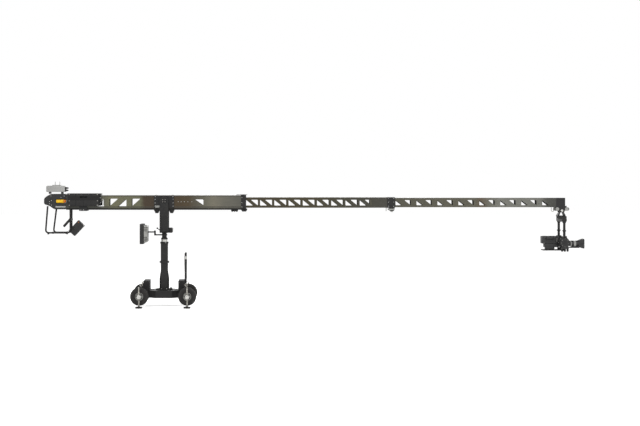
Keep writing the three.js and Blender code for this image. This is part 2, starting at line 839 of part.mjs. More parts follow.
const flangeIn = rimWidth / 2 - rimFlange;
const rimInside = rimRadius - rimFlange;
const webOuter = rimWidth / 2 - rimDish;
const webInner = webOuter - rimWebThickness;
const rimBore = clear(axleRadius);
const rim = turned([
  [rimBore, -rimWidth / 2], [hubRadius, -rimWidth / 2], [hubRadius, webInner], [rimInside, webInner],
  [rimInside, -rimWidth / 2], [rimRadius + rimFlange, -rimWidth / 2], [rimRadius, -flangeIn],
  [rimRadius, flangeIn], [rimRadius + rimFlange, rimWidth / 2], [rimInside, rimWidth / 2], [rimInside, webOuter],
  [hubRadius, webOuter], [hubRadius, rimWidth / 2], [rimBore, rimWidth / 2], [rimBore, -rimWidth / 2],
]);
for (const [end, endWay] of ends) {
  for (const [side, sideWay] of sides) {
    for (const [name, shape, finish] of [['tyre', tyre, 'tyreRubber'], ['rim', rim, 'wheelRim']]) {
      const wheel = piece(crane, `${name}_${end}_${side}`, shape, finish,
        endWay * wheelBase / 2, sideWay * wheelY, axleHeight);
      wheel.rotation.x = -sideWay * Math.PI / 2;
    }
  }
}

// Screw jacks: a screw through the spindle's block, standing in the socket of a round foot
const jackSocketDepth = jackFootHeight - jackFootRim - runningGap;
const jackSocket = clear(jackScrewRadius, coarseSides);
const jackScrewBottom = jackFootHeight - jackSocketDepth + runningGap;
const jackShoulder = jackScrewTop - jackHeadHeight;
const jackScrew = turned([
  [0, jackScrewBottom], [jackScrewRadius, jackScrewBottom], [jackScrewRadius, jackShoulder],
  [jackHeadRadius, jackShoulder], [jackHeadRadius, jackScrewTop], [0, jackScrewTop],
], coarseSides);
const jackFoot = turned([
  [0, 0], [jackFootRadius, 0], [jackFootRadius, jackFootRim], [jackFootNeckRadius, jackBallHeight],
  [jackFootNeckRadius, jackFootHeight], [jackSocket, jackFootHeight],
  [jackSocket, jackFootHeight - jackSocketDepth], [0, jackFootHeight - jackSocketDepth],
], coarseSides);
for (const [end, endWay] of ends) {
  for (const [side, sideWay] of sides) {
    const place = [endWay * wheelBase / 2, sideWay * jackY, floorLevel];
    piece(crane, `jack_screw_${end}_${side}`, jackScrew, 'brightSteel', ...place);
    piece(crane, `jack_foot_${end}_${side}`, jackFoot, 'blackSteel', ...place);
  }
}

// Swivel post: a spigot down through the bearing, a cap with a sloped shoulder and the post
const capFoot = pedestalTop + collarHeight + bearingRingHeight;
const swivel = subgroup(crane, 0, 0, capFoot);
const spigotLength = bearingRingHeight + collarHeight + spigotDepth - runningGap;
const postTop = capHeight + postHeight;
const postShape = turned([
  [0, -spigotLength], [spigotRadius, -spigotLength], [spigotRadius, 0], [capRadius, 0],
  [capRadius, capHeight / 2], [postRadius, capHeight], [postRadius, postTop], [0, postTop],
]);
piece(swivel, 'swivel_post', postShape, 'blackPaint');

// Tilt fork: a U across the boom with grooved arms and round heads at the tilt axis
const tiltZ = tiltAxisHeight - chassisFloorGap - capFoot;
const forkInner = outerWidth / 2 + saddleThickness + forkGap;
const forkOuter = forkInner + forkArmThickness;
const forkTop = tiltZ + forkWidth / 2;
const forkSection = beam(outline([
  [-forkOuter, postTop + forkFootHeight / 2], [-forkInner, postTop], [forkInner, postTop],
  [forkOuter, postTop + forkFootHeight / 2], [forkOuter, forkTop], [forkInner, forkTop],
  [forkInner, postTop + forkFootHeight], [-forkInner, postTop + forkFootHeight],
  [-forkInner, forkTop], [-forkOuter, forkTop],
]), forkWidth, -forkWidth / 2);
const forkSide = outline([[-forkWidth / 2, postTop], [forkWidth / 2, postTop],
  [forkWidth / 2, tiltZ], [-forkWidth / 2, tiltZ]]);
const forkHead = bar('y', forkWidth / 2, 2 * forkOuter, 0, 0, tiltZ, wheelSides);
let fork = forkSection.intersect(join(plate(forkSide, 2 * forkOuter), forkHead));
const grooveTop = outerHeight + saddleLugHeight;
const grooveLength = tiltZ - grooveTop - postTop - forkFootHeight / 2;
for (const [, side] of sides) {
  for (const way of [-1, 1]) {
    const groove = box(forkRibWidth, 2 * forkRibDepth, grooveLength, way * forkRibWidth * 0.85,
      side * forkOuter, postTop + forkFootHeight + grooveLength / 2);
    fork = cut(fork, groove);
  }
}
const forkBore = bore('y', trunnionRadius, 2 * forkOuter + cutOverrun, 0, 0, tiltZ);
fork = cut(fork, forkBore);
piece(swivel, 'tilt_fork', fork, 'blackPaint');

// Junction box on the front of the fork, and the swivel brake lever on its near arm
const junctionZ = postTop + forkFootHeight - junctionHeight * 0.1;
const junction = plate(outline(chamfered(junctionLength, junctionHeight, junctionChamfer)), junctionWidth);
piece(swivel, 'junction_box', junction, 'blackPlastic',
  forkWidth / 2 + junctionLength / 2, 0, junctionZ);

const lever = join(
  bar('y', leverBossRadius, leverBossHeight, 0, -leverBossHeight / 2, 0, coarseSides),
  box(leverLength, leverThickness, leverWidth, -leverLength / 2, -leverThickness / 2, 0)
    .rotate([0, leverSlope, 0]),
);
piece(swivel, 'brake_lever', lever, 'blackSteel', -forkWidth / 3, -forkOuter - runningGap,
  postTop + forkFootHeight - leverBossRadius);

// Column monitor: a clamp ring on the post, two links and the flat screen facing the operator
const armZ = capHeight + armBarHeight * 1.8;
const armRing = cut(
  join(
    bar('z', postRadius + armBarWidth / 3, armBarHeight, 0, 0, 0),
    box(armLowerReach, armBarWidth, armBarHeight, -armLowerReach / 2 - armBarWidth / 3, 0, 0),
    bar('z', armBarWidth / 2, armBarHeight, -armLowerReach - armBarWidth / 3, 0, 0, coarseSides),
  ),
  bore('z', postRadius, armBarHeight + cutOverrun),
);
const armPinX = -armLowerReach - armBarWidth / 3;
const armPin = bar('z', armPinRadius, armStep + armBarHeight / 2, armPinX, 0,
  (armStep + armBarHeight / 2) / 2, coarseSides);
piece(swivel, 'monitor_arm_lower', join(armRing, armPin), 'blackSteel', 0, 0, armZ);

const upperLength = armUpperReach - runningGap;
const armBossLength = armStep - armBarHeight - runningGap;
const monitorPinX = armPinX - armUpperReach;
const upperArm = cut(
  join(
    bar('z', armBarWidth / 2, armBarHeight, 0, 0, 0, coarseSides),
    bar('z', armBarWidth / 2, armBossLength, 0, 0, -(armBarHeight + armBossLength) / 2, coarseSides),
    box(upperLength, armBarWidth, armBarHeight, -upperLength / 2, 0, 0),
    bar('y', armBarHeight / 2, armBarWidth, -upperLength, 0, 0, coarseSides),
    bar('y', armPinRadius, 2 * armBarWidth, -upperLength, 0, 0, coarseSides),
  ),
  bore('z', armPinRadius, 4 * armStep, 0, 0, 0, coarseSides),
);
piece(swivel, 'monitor_arm_upper', upperArm, 'blackSteel', armPinX, 0, armZ + armStep);

const screenBack = monitorBackDepth - armBarHeight / 2;
const backTop = monitorHeight / 2;
let monitor = join(
  plate(outline([
    [0, -backTop], [-monitorSlab, -backTop], [-monitorSlab, backTop], [0, backTop],
  ]), monitorWidth),
  plate(outline([
    [-runningGap, -backTop + monitorBezel], [-runningGap, backTop - monitorBezel / 2],
    [monitorBackDepth - monitorBackChamfer / 2, backTop - monitorBezel / 2],
    [monitorBackDepth, backTop - monitorBackChamfer], [monitorBackDepth, monitorBackChamfer - backTop],
    [monitorBackDepth - monitorBackChamfer / 2, monitorBezel - backTop],
  ]), monitorWidth - 2 * monitorBackChamfer),
);
monitor = cut(
  monitor,
  box(2 * monitorRecess, monitorWidth - 2 * monitorBezel, monitorHeight - 2 * monitorBezel, -monitorSlab, 0, 0),
  box(monitorBackDepth, armBarWidth + 2 * runningGap, 2 * armStep, monitorBackDepth, 0, monitorDrop),
  bore('y', armPinRadius, 2 * armBarWidth + 2 * runningGap, screenBack, 0, monitorDrop, coarseSides),
);
for (let i = 0; i < monitorVentCount; i += 1) {
  const z = monitorBackChamfer * 1.4 + i * 2 * monitorVentHeight - armBarHeight / 2;
  for (const way of [-1, 1]) {
    const vent = box(2 * monitorVentDepth, monitorWidth / 2, monitorVentHeight, monitorBackDepth, 0, way * z);
    monitor = cut(monitor, vent);
  }
}
piece(swivel, 'monitor_housing', monitor, 'blackPlastic',
  monitorPinX + runningGap - screenBack, 0, armZ + armStep - monitorDrop);

// Boom, whose group turns about the tilt axis
const boom = subgroup(crane, 0, 0, tiltAxisHeight - chassisFloorGap);
const lineZ = boomLineHeight;
const outerTop = lineZ + outerHeight / 2;
const outerBottom = lineZ - outerHeight / 2;

// Truss windows of a boom section: each bay is split by a leaning strut into two triangles
function trussWindows(start, count, pitch, bayShare, strutShare, low, high, lean) {
  const windows = [];
  const bay = pitch * bayShare;
  const side = bay * (1 - strutShare);
  for (let i = 0; i < count; i += 1) {
    const [x0, x1] = [start + i * pitch, start + i * pitch + bay];
    const [rise, fall] = lean > 0 ? [low, high] : [high, low];
    windows.push([[x0, fall], [x0 + side, fall], [x0, rise]]);
    windows.push([[x1, rise], [x1 - side, rise], [x1, fall]]);
  }
  return windows;
}

function cutWindows(tube, windows, width) {
  const tools = windows.map((corners) => plate(rounded(corners, windowCornerRadius), width + 2 * cutOverrun));
  return cut(tube, join(...tools));
}

// A closed rectangle in Y and Z between two heights
const frameOutline = (halfWidth, low, high) => (
  [[-halfWidth, low], [halfWidth, low], [halfWidth, high], [-halfWidth, high]]);

// Outer section: a box tube on two rails, with windows in both sides
const cavityLow = lineZ - middleHeight / 2 - middleGapBelow;
const cavityHigh = outerTop - outerWall;
const cavityHalf = outerWidth / 2 - outerWall;
const outerLength = outerFrontX - outerRearX;
const railY = cavityHalf - outerRailWidth / 2;
let outerTube = cut(
  beam(outline(frameOutline(outerWidth / 2, outerBottom + outerRailHeight, outerTop)), outerLength, outerRearX),
  beam(outline(frameOutline(cavityHalf, cavityLow, cavityHigh)), outerLength + 2 * cutOverrun,
    outerRearX - cutOverrun),
);
for (const [, side] of sides) {
  outerTube = join(outerTube, box(outerLength, outerRailWidth, outerRailHeight + runningGap,
    (outerRearX + outerFrontX) / 2, side * railY, outerBottom + (outerRailHeight + runningGap) / 2));
}
const outerWindowLow = lineZ - outerWindowHeight / 2;
const outerWindows = trussWindows(outerWindowStart, outerBayCount, outerPitch, outerBayShare, outerStrutShare,
  outerWindowLow, outerWindowLow + outerWindowHeight, 1).slice(0, -1);
const loneTop = lineZ + outerLoneWindowHeight / 2 + windowLineDrop;
outerWindows.push([
  [outerLoneWindowX, loneTop], [outerLoneWindowX + outerLoneWindowLength, loneTop],
  [outerLoneWindowX + outerLoneWindowLength, loneTop - outerLoneWindowHeight],
]);
outerTube = cutWindows(outerTube, outerWindows, outerWidth);
piece(boom, 'outer_tube', outerTube, 'oliveAnodised');

// Saddle: side plates, a floor under the rails, lugs below it and the two trunnions
const saddleBottom = outerBottom - saddleFloor;
const saddleHalf = outerWidth / 2 + saddleThickness;
const plateTop = outerTop - saddleFloor / 4;
const plateLow = plateTop - saddleHeight;
const saddleEnd = saddleLength / 2;
let saddle = box(saddleLength, 2 * saddleHalf, saddleFloor, 0, 0, saddleBottom + saddleFloor / 2);
for (const [, side] of sides) {
  const half = saddleThickness;
  const sidePlate = plate(outline([
    [-forkWidth / 2, saddleBottom], [forkWidth / 2, saddleBottom], [forkWidth / 2, plateLow],
    [saddleEnd, plateLow], [saddleEnd, plateTop], [-saddleEnd, plateTop], [-saddleEnd, plateLow],
    [-forkWidth / 2, plateLow],
  ]), half, side * (saddleHalf - half / 2));
  const stub = bar('y', trunnionRadius, forkOuter - saddleHalf + half / 2, 0,
    side * (forkOuter + saddleHalf - half / 2) / 2, 0);
  saddle = join(saddle, sidePlate, stub);
}
for (const way of [-1, 1]) {
  const lugX = way * (saddleEnd - saddleLugLength / 2);
  const lug = plate(outline([
    [-saddleLugLength / 2, 0], [saddleLugLength / 2, 0],
    [saddleLugLength / 2 - saddleLugHeight / 2, -saddleLugHeight],
    [saddleLugHeight / 2 - saddleLugLength / 2, -saddleLugHeight],
  ]), saddleLugWidth);
  saddle = join(saddle, lug.translate([lugX, 0, saddleBottom + runningGap]));
}
piece(boom, 'tilt_saddle', saddle, 'blackSteel');

// A collar on the end of a section: a ring round the next section, with a housing below
function collarRing(length, halfWidth, low, high, inner) {
  return cut(
    beam(outline(frameOutline(halfWidth, low, high)), length),
    beam(outline(inner), length + 2 * cutOverrun, -cutOverrun),
  );
}

const middleGap = middleGapBelow - runningGap;
const frontOpening = frameOutline(middleWidth / 2 + middleGap,
  lineZ - middleHeight / 2 - middleGap, lineZ + middleHeight / 2 + middleGap);
const frontTop = outerTop + frontPlateThickness - frontCollarThickness / 2;
const frontLow = outerBottom + outerRailHeight - frontCollarThickness / 2;
const rollerX = frontCollarLength / 2;
const rollerZ = lineZ - middleHeight / 2 - runningGap - rollerRadius;
const housingLow = frontLow - rollerHousingDrop + saddleFloor;
const rollerHalf = middleWidth / 2 - rollerHousingWall;
const housing = plate(outline([
  [0, frontLow + runningGap], [rollerHousingLength, frontLow + runningGap],
  [rollerHousingLength, frontLow - rollerHousingDrop / 3],
  [rollerHousingLength - rollerTip, housingLow], [rollerTip, housingLow],
  [0, frontLow - rollerHousingDrop / 3],
]), 2 * (rollerHalf + rollerHousingWall));
let frontCollar = join(
  collarRing(frontCollarLength, outerWidth / 2 + frontCollarThickness / 2, frontLow, frontTop, frontOpening),
  housing,
);
const rollerPocket = box(2 * rollerRadius + 2 * middleGapBelow, 2 * (rollerHalf + runningGap),
  lineZ - middleHeight / 2 - middleGap - housingLow + cutOverrun, rollerX, 0,
  (lineZ - middleHeight / 2 - middleGap + housingLow - cutOverrun) / 2);
const pinBore = bore('y', rollerPinRadius, 2 * outerWidth, rollerX, 0, rollerZ, coarseSides);
frontCollar = cut(frontCollar, rollerPocket, pinBore);
piece(boom, 'front_collar', frontCollar, 'blackPaint', outerFrontX, 0, 0);
const roller = join(
  bar('y', rollerRadius, 2 * rollerHalf - 2 * runningGap),
  bar('y', rollerPinRadius, 2 * (rollerHalf + rollerHousingWall), 0, 0, 0, coarseSides),
);
piece(boom, 'guide_roller', roller, 'blackPlastic', outerFrontX + rollerX, 0, rollerZ);

// Counterweight carriage: a saddle over the outer tube, closed below by a shoe
const carriageX = carriageFrontX - carriageLength;
const carriageHalf = outerWidth / 2 + carriageGap + carriageSidePlate;
const carriageHigh = carriageTop;
const carriageLow = carriageHigh - carriageSideHeight;
const shoeLow = outerBottom - carriageShoeDrop;
const carriageSpace = frameOutline(outerWidth / 2 + carriageGap, outerBottom - runningGap,
  outerTop + runningGap);
const shoeX = carriageX + carriageShoeOffset;
const carriage = cut(
  join(
    beam(outline(frameOutline(carriageHalf, carriageLow, carriageHigh)), carriageLength, carriageX),
    beam(outline(frameOutline(carriageHalf, shoeLow, carriageHigh)), carriageShoeLength, shoeX),
  ),
  beam(outline(carriageSpace), carriageLength + 2 * cutOverrun, carriageX - cutOverrun),
);
piece(boom, 'counterweight_carriage', carriage, 'blackPaint');

// Two counterweight slabs with bevelled edges, each with a hand slot near its top
for (const [name, side] of sides) {
  const slabY = side * (carriageHalf + weightThickness / 2);
  const middleX = carriageX + carriageLength / 2;
  const face = shifted(chamfered(weightLength, weightHeight, weightChamfer), middleX,
    carriageHigh - weightHeight / 2);
  const slot = box(weightGripLength, 2 * weightGripDepth, weightGripHeight, middleX,
    side * (carriageHalf + weightThickness), carriageHigh - 2 * weightGripHeight);
  const weight = cut(plate(outline(face), weightThickness, slabY), slot);
  piece(boom, `counterweight_${name}`, weight, 'blackPaint');
}

// Tail housing: a rounded nose, with a pocket for the drive motor on the near side
const tailX = outerRearX - tailLength;
const [tailHigh, tailLow] = [tailTop, tailBottom];
const noseHigh = tailHigh - tailSlopeLength * 0.64;
const noseLow = noseHigh - tailNoseHeight;
const tailOutline = rounded([
  [outerRearX, tailLow], [tailX + 2 * tailLowerSlope, tailLow],
  [tailX + tailLowerSlope, noseLow - tailLowerSlope * tailNoseSlopeShare],
  [tailX, noseLow], [tailX, noseHigh],
  [tailX + tailSlopeLength * 0.4, tailHigh - tailSlopeLength * 0.3], [tailX + tailSlopeLength, tailHigh],
  [outerRearX, tailHigh],
], tailCornerRadius);
const motorZ = motorHeight;
const pocket = box(motorPocketLength, 2 * motorPocketDepth, motorPocketHeight, motorPocketX,
  -tailWidth / 2, motorZ);
const tailHousing = cut(plate(tailOutline, tailWidth), pocket);
piece(boom, 'tail_housing', tailHousing, 'blackPaint');
const motorX = motorPocketX - motorPocketLength / 2 + runningGap;
const motor = join(
  bar('x', motorFlangeRadius, motorFlangeLength, motorFlangeLength / 2, 0, 0),
  bar('x', motorRadius, motorLength, motorLength / 2 + motorFlangeLength, 0, 0),
  bar('x', motorRadius * 0.55, motorFlangeLength, motorLength + 1.5 * motorFlangeLength, 0, 0, coarseSides),
);
const motorY = motorPocketDepth - tailWidth / 2 - motorFlangeRadius - runningGap;
piece(boom, 'drive_motor', motor, 'yellowPaint', motorX, motorY, motorZ);

// Radio receiver on the tail: feet, a grooved case with a raised crown, and two antennas
const radioX = radioRearX + radioLength / 2;
let radio = join(
  plate(outline(shifted(chamfered(radioLength, radioHeight, radioChamfer), 0, radioFoot + radioHeight / 2)), radioWidth),
  plate(outline([
    [-radioCrownLength / 2 - radioCrownHeight, radioFoot + radioHeight - runningGap],
    [radioCrownLength / 2 + radioCrownHeight, radioFoot + radioHeight - runningGap],
    [radioCrownLength / 2, radioFoot + radioHeight + radioCrownHeight],
    [-radioCrownLength / 2, radioFoot + radioHeight + radioCrownHeight],
  ]), radioWidth - 2 * radioChamfer),
  box(radioEndLength, radioWidth - 4 * radioChamfer, radioHeight - 2 * radioChamfer,
    radioLength / 2 + radioEndLength / 2 - runningGap, 0, radioFoot + radioHeight / 2),
);
for (let i = 0; i < radioGrooveCount; i += 1) {
  const z = radioFoot + (radioHeight * (i + 1)) / (radioGrooveCount + 1);
  for (const [, side] of sides) {
    const groove = box(radioLength * 0.86, 2 * radioGrooveDepth, radioGrooveHeight, 0, side * radioWidth / 2, z);
    radio = cut(radio, groove);
  }
}
for (const way of [-1, 1]) {
  const antennaTop = radioFoot + radioHeight + radioCrownHeight;
  radio = join(
    radio,
    bar('z', antennaRadius, antennaHeight, way * antennaSpacing / 2 + radioCrownHeight, 0,
      antennaTop + antennaHeight / 2 - runningGap, coarseSides, antennaRadius * 0.8),
    box(radioFootWidth, radioWidth * 0.8, radioFoot + runningGap, way * radioLength * 0.36, 0,
      (radioFoot + runningGap) / 2),
  );
}
piece(boom, 'radio_box', radio, 'radioGrey', radioX, 0, tailHigh);

// Operator's frame: a bent tube loop each side, cross bars, a hub and plates for the console
const barZ = frameBarHeight;
const crossBar = (x) => bar('y', frameTubeRadius, 2 * frameHalfWidth, x, 0, barZ, coarseSides);
const hubZ = barZ + frameHubRise;
const hubY = -frameHalfWidth - frameHubLength / 2;
const consolePinZ = barZ + consolePinRise;
const consolePlateY = consoleWidth / 2 + runningGap + consolePlateThickness / 2;
const consolePlateReach = consolePinX - frameFrontX;
let frame = join(
  crossBar(frameCrossX),
  crossBar(frameCrossFrontX),
  bar('y', frameHubRadius, frameHubLength, frameFrontX, hubY, hubZ),
);
for (const [name, side] of sides) {
  const [rearX, lean] = name === 'near' ? [frameRearX, frameRearLean] : [frameInnerX, frameInnerLean];
  const y = side * frameHalfWidth;
  const slopeTop = noseLow - (rearX + lean + frameTubeRadius - tailX) * tailNoseSlopeShare;
  const rearTop = (name === 'near' ? slopeTop : tailLow) - runningGap;
  const loop = pipe([
    [rearX + lean, y, rearTop], [rearX, y, barZ], [frameFrontX, y, barZ],
    [frameFrontX, y, outerBottom - runningGap],
  ], frameTubeRadius, frameBendRadius);
  const strap = box(consolePlateReach, consolePlateThickness, 2 * frameTubeRadius,
    frameFrontX + consolePlateReach / 2, side * consolePlateY, consolePinZ);
  const ear = bar('y', frameTubeRadius, consolePlateThickness, consolePinX, side * consolePlateY, consolePinZ);
  frame = join(frame, loop, strap, ear);
}
const consoleBore = bore('y', consolePinRadius, 2 * consolePlateY + 2 * frameTubeRadius,
  consolePinX, 0, consolePinZ, coarseSides);
piece(boom, 'operator_frame', cut(frame, consoleBore), 'blackPaint');

// Ribbed control grip on the frame's hub
let grip = join(
  bar('y', gripRadius, 2 * gripRadius),
  bar('x', gripRadius, gripLength, -gripLength / 2, 0, 0, coarseSides),
);
for (let i = 0; i < gripRibCount; i += 1) {
  const x = -gripLength * (0.3 + (0.66 * i) / (gripRibCount - 1)) + gripRibLength / 2;
  grip = join(grip, bar('x', gripRadius + gripRibDepth, gripRibLength, x, 0, 0, coarseSides));
}
piece(boom, 'control_grip', grip.rotate([0, -gripTilt, 0]), 'blackPlastic', frameFrontX,
  -frameHalfWidth - frameHubLength - gripRadius - runningGap, hubZ);

// Operator's monitor: a flat case with an open hood, tipped up towards the operator
const hoodInside = [consoleScreenLength - 2 * consoleHoodWall, consoleWidth - 2 * consoleHoodWall];
const consoleFace = consoleDepth - (consoleDepth + consoleHoodDepth) / 2;
let consoleShape = cut(
  join(
    box(consoleScreenLength, consoleWidth, consoleDepth + runningGap, 0, 0, consoleFace - consoleDepth / 2),
    box(consoleScreenLength, consoleWidth, consoleHoodDepth, 0, 0, consoleFace + consoleHoodDepth / 2),
  ),
  box(...hoodInside, consoleHoodDepth, 0, 0, consoleFace + consoleHoodDepth / 2 + consoleHoodWall / 2),
).rotate([0, -consoleTilt, 0]);
const consoleZ = barZ + consoleRise;
for (const [, side] of sides) {
  const pin = bar('y', consolePinRadius, consolePlateThickness + 2 * runningGap, consolePinX - consoleX,
    side * consolePlateY, consolePinZ - consoleZ, coarseSides);
  consoleShape = join(consoleShape, pin);
}
piece(boom, 'console_monitor', consoleShape, 'blackPlastic', consoleX, 0, consoleZ);

// Inner box tube with windows and a guide frame round its rear end
function sectionTube(length, height, width, wall, guide) {
  const inside = [height - 2 * wall, width - 2 * wall];
  return cut(
    join(
      box(length, width, height, length / 2, 0, 0),
      beam(outline(guide), glideLength),
    ),
    box(length + 2 * cutOverrun, inside[1], inside[0], length / 2, 0, 0),
  );
}

// Middle section and its collar
const middle = subgroup(boom, middleFrontX - middleLength, 0, lineZ);
const middleGuide = frameOutline(cavityHalf - runningGap, cavityLow + runningGap - lineZ,
  cavityHigh - runningGap - lineZ);
const middleWindowLow = -middleWindowHeight / 2 - windowLineDrop;
const middleWindows = trussWindows(middleRearPlain, middleBayCount, middlePitch, middleBayShare, middleStrutShare,
  middleWindowLow, middleWindowLow + middleWindowHeight, -1);
const middleTube = sectionTube(middleLength, middleHeight, middleWidth, middleWall, middleGuide);
piece(middle, 'middle_tube', cutWindows(middleTube, middleWindows, middleWidth), 'oliveAnodised');

const middleEdge = middleHeight / 2 + middleGapBelow;
const innerOpening = frameOutline(innerWidth / 2 + runningGap, -innerHeight / 2 - runningGap,
  innerHeight / 2 + runningGap);
const middleHousing = plate(rounded([
  [0, runningGap], [middleHousingLength, runningGap], [middleHousingLength, -middleHousingDrop / 3],
  [middleHousingLength - rollerTip, -middleHousingDrop], [rollerTip, -middleHousingDrop],
  [0, -middleHousingDrop / 3],
], rollerTip), middleWidth / 2);
const middleCollar = join(
  collarRing(middleCollarLength, middleWidth / 2 + middleCollarThickness / 2, -middleEdge, middleEdge,
    innerOpening),
  middleHousing.translate([middleCollarLength - middleHousingLength, 0, -middleEdge]),
);
piece(middle, 'middle_collar', middleCollar, 'blackPaint', middleLength, 0, 0);

// Inner section and its nose fitting
const inner = subgroup(middle, innerFrontX - innerLength - middleFrontX + middleLength, 0, 0);
const innerGuide = frameOutline(middleWidth / 2 - middleWall - runningGap,
  middleWall + runningGap - middleHeight / 2, middleHeight / 2 - middleWall - runningGap);
const innerWindowLow = -innerWindowHeight / 2 - windowLineDrop;
const innerWindows = trussWindows(innerRearPlain, innerBayCount, innerPitch, innerBayShare, innerStrutShare,
  innerWindowLow, innerWindowLow + innerWindowHeight, -1).slice(0, -1);
const innerTube = sectionTube(innerLength, innerHeight, innerWidth, innerWall, innerGuide);
piece(inner, 'inner_tube', cutWindows(innerTube, innerWindows, innerWidth), 'greyAnodised');

const levelX = levelAxisX - innerFrontX;
const levelZ = levelAxisHeight - boomLineHeight;
const noseBottom = -innerHeight / 2;
const cheekY = levelWidth / 2 + runningGap + noseCheekThickness / 2;
const cheekOutline = outline([
  [levelX - noseCheekTop / 2, noseBottom + runningGap], [levelX + noseCheekTop / 2 - levelPinRadius, noseBottom + runningGap],
  [levelX + noseCheekBottom / 2, noseBottom - noseCheekDrop], [levelX - noseCheekBottom / 2, noseBottom - noseCheekDrop],
]);
let nose = box(noseLength, innerWidth, innerHeight, noseLength / 2, 0, 0);
for (const [, side] of sides) {
  const stopLength = innerWidth - 2 * (cheekY - noseCheekThickness / 2);
  const cheek = plate(cheekOutline, noseCheekThickness, side * cheekY);
  nose = join(nose, cheek.intersect(box(2 * noseLength, innerWidth, 3 * innerHeight, noseLength / 2, 0, 0)));
  for (const way of [-1, 1]) {
    const stop = bar('y', levelHornRadius, stopLength / 2, levelX + way * levelHornSpread,
      side * (innerWidth - stopLength / 2) / 2, noseBottom - levelHornRadius - runningGap, coarseSides);
    const web = box(levelHornRadius, stopLength / 2, 2 * levelHornRadius, levelX + way * (levelHornSpread - levelHornRadius),
      side * (innerWidth - stopLength / 2) / 2, noseBottom - levelHornRadius / 4);
    nose = join(nose, stop, web);
  }
}
nose = cut(nose, bore('y', levelPinRadius, 2 * innerWidth, levelX, 0, levelZ, coarseSides));
piece(inner, 'nose_block', nose, 'blackPaint', innerLength, 0, 0);

// Levelling bracket: a boss on its pin and two struts down to the plate that carries the pan unit
const level = subgroup(inner, innerLength + levelX, 0, levelZ);
const bossRadius = levelPinRadius * 2;
const plateZ = levelPlateHeight - levelAxisHeight;
const plateHalf = headBarLength / 2;
const bracketSide = outline([
  [-bossRadius, 0], [-bossRadius * 1.4, -bossRadius], [-plateHalf * 0.8, plateZ + levelPlateThickness],
  [-plateHalf * 0.8, plateZ], [plateHalf * 0.7, plateZ], [plateHalf * 0.7, plateZ + levelPlateThickness],
  [bossRadius * 1.4, -bossRadius], [bossRadius, 0],
]);
const bracketGap = outline([
  [-bossRadius * 0.9, -bossRadius * 1.3], [bossRadius * 0.9, -bossRadius * 1.3],
  [plateHalf * 0.45, plateZ + levelPlateThickness], [-plateHalf * 0.45, plateZ + levelPlateThickness],
]);
const levelBracket = join(
  cut(plate(bracketSide, levelWidth), plate(bracketGap, levelWidth + cutOverrun)),
  bar('y', bossRadius, levelWidth),
  bar('y', levelPinRadius, 2 * cheekY + noseCheekThickness, 0, 0, 0, coarseSides),
);
piece(level, 'level_bracket', levelBracket, 'blackPaint');

const panX = panAxisX - levelAxisX;
const panBore = bore('z', tiltPinRadius, panHeight + headBarHeight + cutOverrun, panX, 0,
  plateZ - panHeight - headBarHeight / 2);
const panUnit = bar('z', panRadius, panHeight, panX, 0, plateZ - panHeight / 2, wheelSides);
const panSpigot = bar('z', tiltPinRadius, headBarHeight + runningGap, panX, 0,
  plateZ - panHeight - headBarHeight / 2 + runningGap / 2);
piece(level, 'pan_unit', join(panUnit, panSpigot), 'blackPaint');

// Head frame: a cross bar, two legs of twin tubes and a cheek at each foot for the tilt axis
const head = subgroup(level, panX, 0, 0);
const headBarTop = plateZ - panHeight - runningGap;
const headTiltZ = headTiltHeight - levelAxisHeight;
const legTop = headBarTop - headBarHeight;
const cheekTop = headTiltZ + headCheekTop;
const headBarShape = slab(outline(chamfered(headBarLength, headBarWidth, headBarChamfer)), headBarHeight,
  headBarTop - headBarHeight);
let headFrame = headBarShape;
for (const [, side] of sides) {
  const y = side * headHalfWidth;
  const cheek = join(
    bar('y', headCheekRadius, headCheekThickness, 0, y, headTiltZ, wheelSides),
    box(headLegSpacing + 2 * headLegRadius, headCheekThickness, headCheekTop, 0, y, headTiltZ + headCheekTop / 2),
  );
  headFrame = join(headFrame, cheek);
  for (const way of [-1, 1]) {
    const x = way * headLegSpacing / 2;
    const length = legTop - cheekTop + 2 * runningGap;
    const clampZ = legTop - (legTop - cheekTop) * headClampShare;
    headFrame = join(
      headFrame,
      bar('z', headLegRadius, length, x, y, (legTop + cheekTop) / 2, pipeSides),
      bar('z', headClampRadius, headClampHeight, x, y, clampZ, pipeSides),
    );
  }
}
const tiltBore = bore('y', tiltPinRadius, headBarWidth + cutOverrun, 0, 0, headTiltZ);
const spigotBore = panBore.translate([-panX, 0, 0]);
piece(head, 'head_frame', cut(headFrame, tiltBore, spigotBore), 'blackPaint');

// Tilt motor: a round housing on the near cheek, with a hub and three knobs below
const motorFaceY = -headHalfWidth - headCheekThickness / 2;
const knobBlock = headLegSpacing / 5;
let tiltMotor = join(
  bar('y', tiltMotorRadius, tiltMotorLength, 0, motorFaceY - tiltMotorLength / 2, headTiltZ, wheelSides),
  bar('y', tiltHubRadius, tiltHubLength, 0, motorFaceY - tiltMotorLength - tiltHubLength / 2, headTiltZ),
  box(headLegSpacing, tiltMotorLength, 2 * knobBlock, 0, motorFaceY - tiltMotorLength / 2,
    headTiltZ - tiltMotorRadius),
);
for (const way of [-1, 0, 1]) {
  tiltMotor = join(tiltMotor, bar('z', tiltKnobRadius, tiltKnobLength + knobBlock,
    way * (headLegSpacing / 2 - tiltKnobRadius), motorFaceY - tiltMotorLength / 2,
    headTiltZ - tiltMotorRadius - knobBlock - tiltKnobLength / 2, coarseSides));
}
piece(head, 'tilt_motor', tiltMotor, 'blackPlastic');

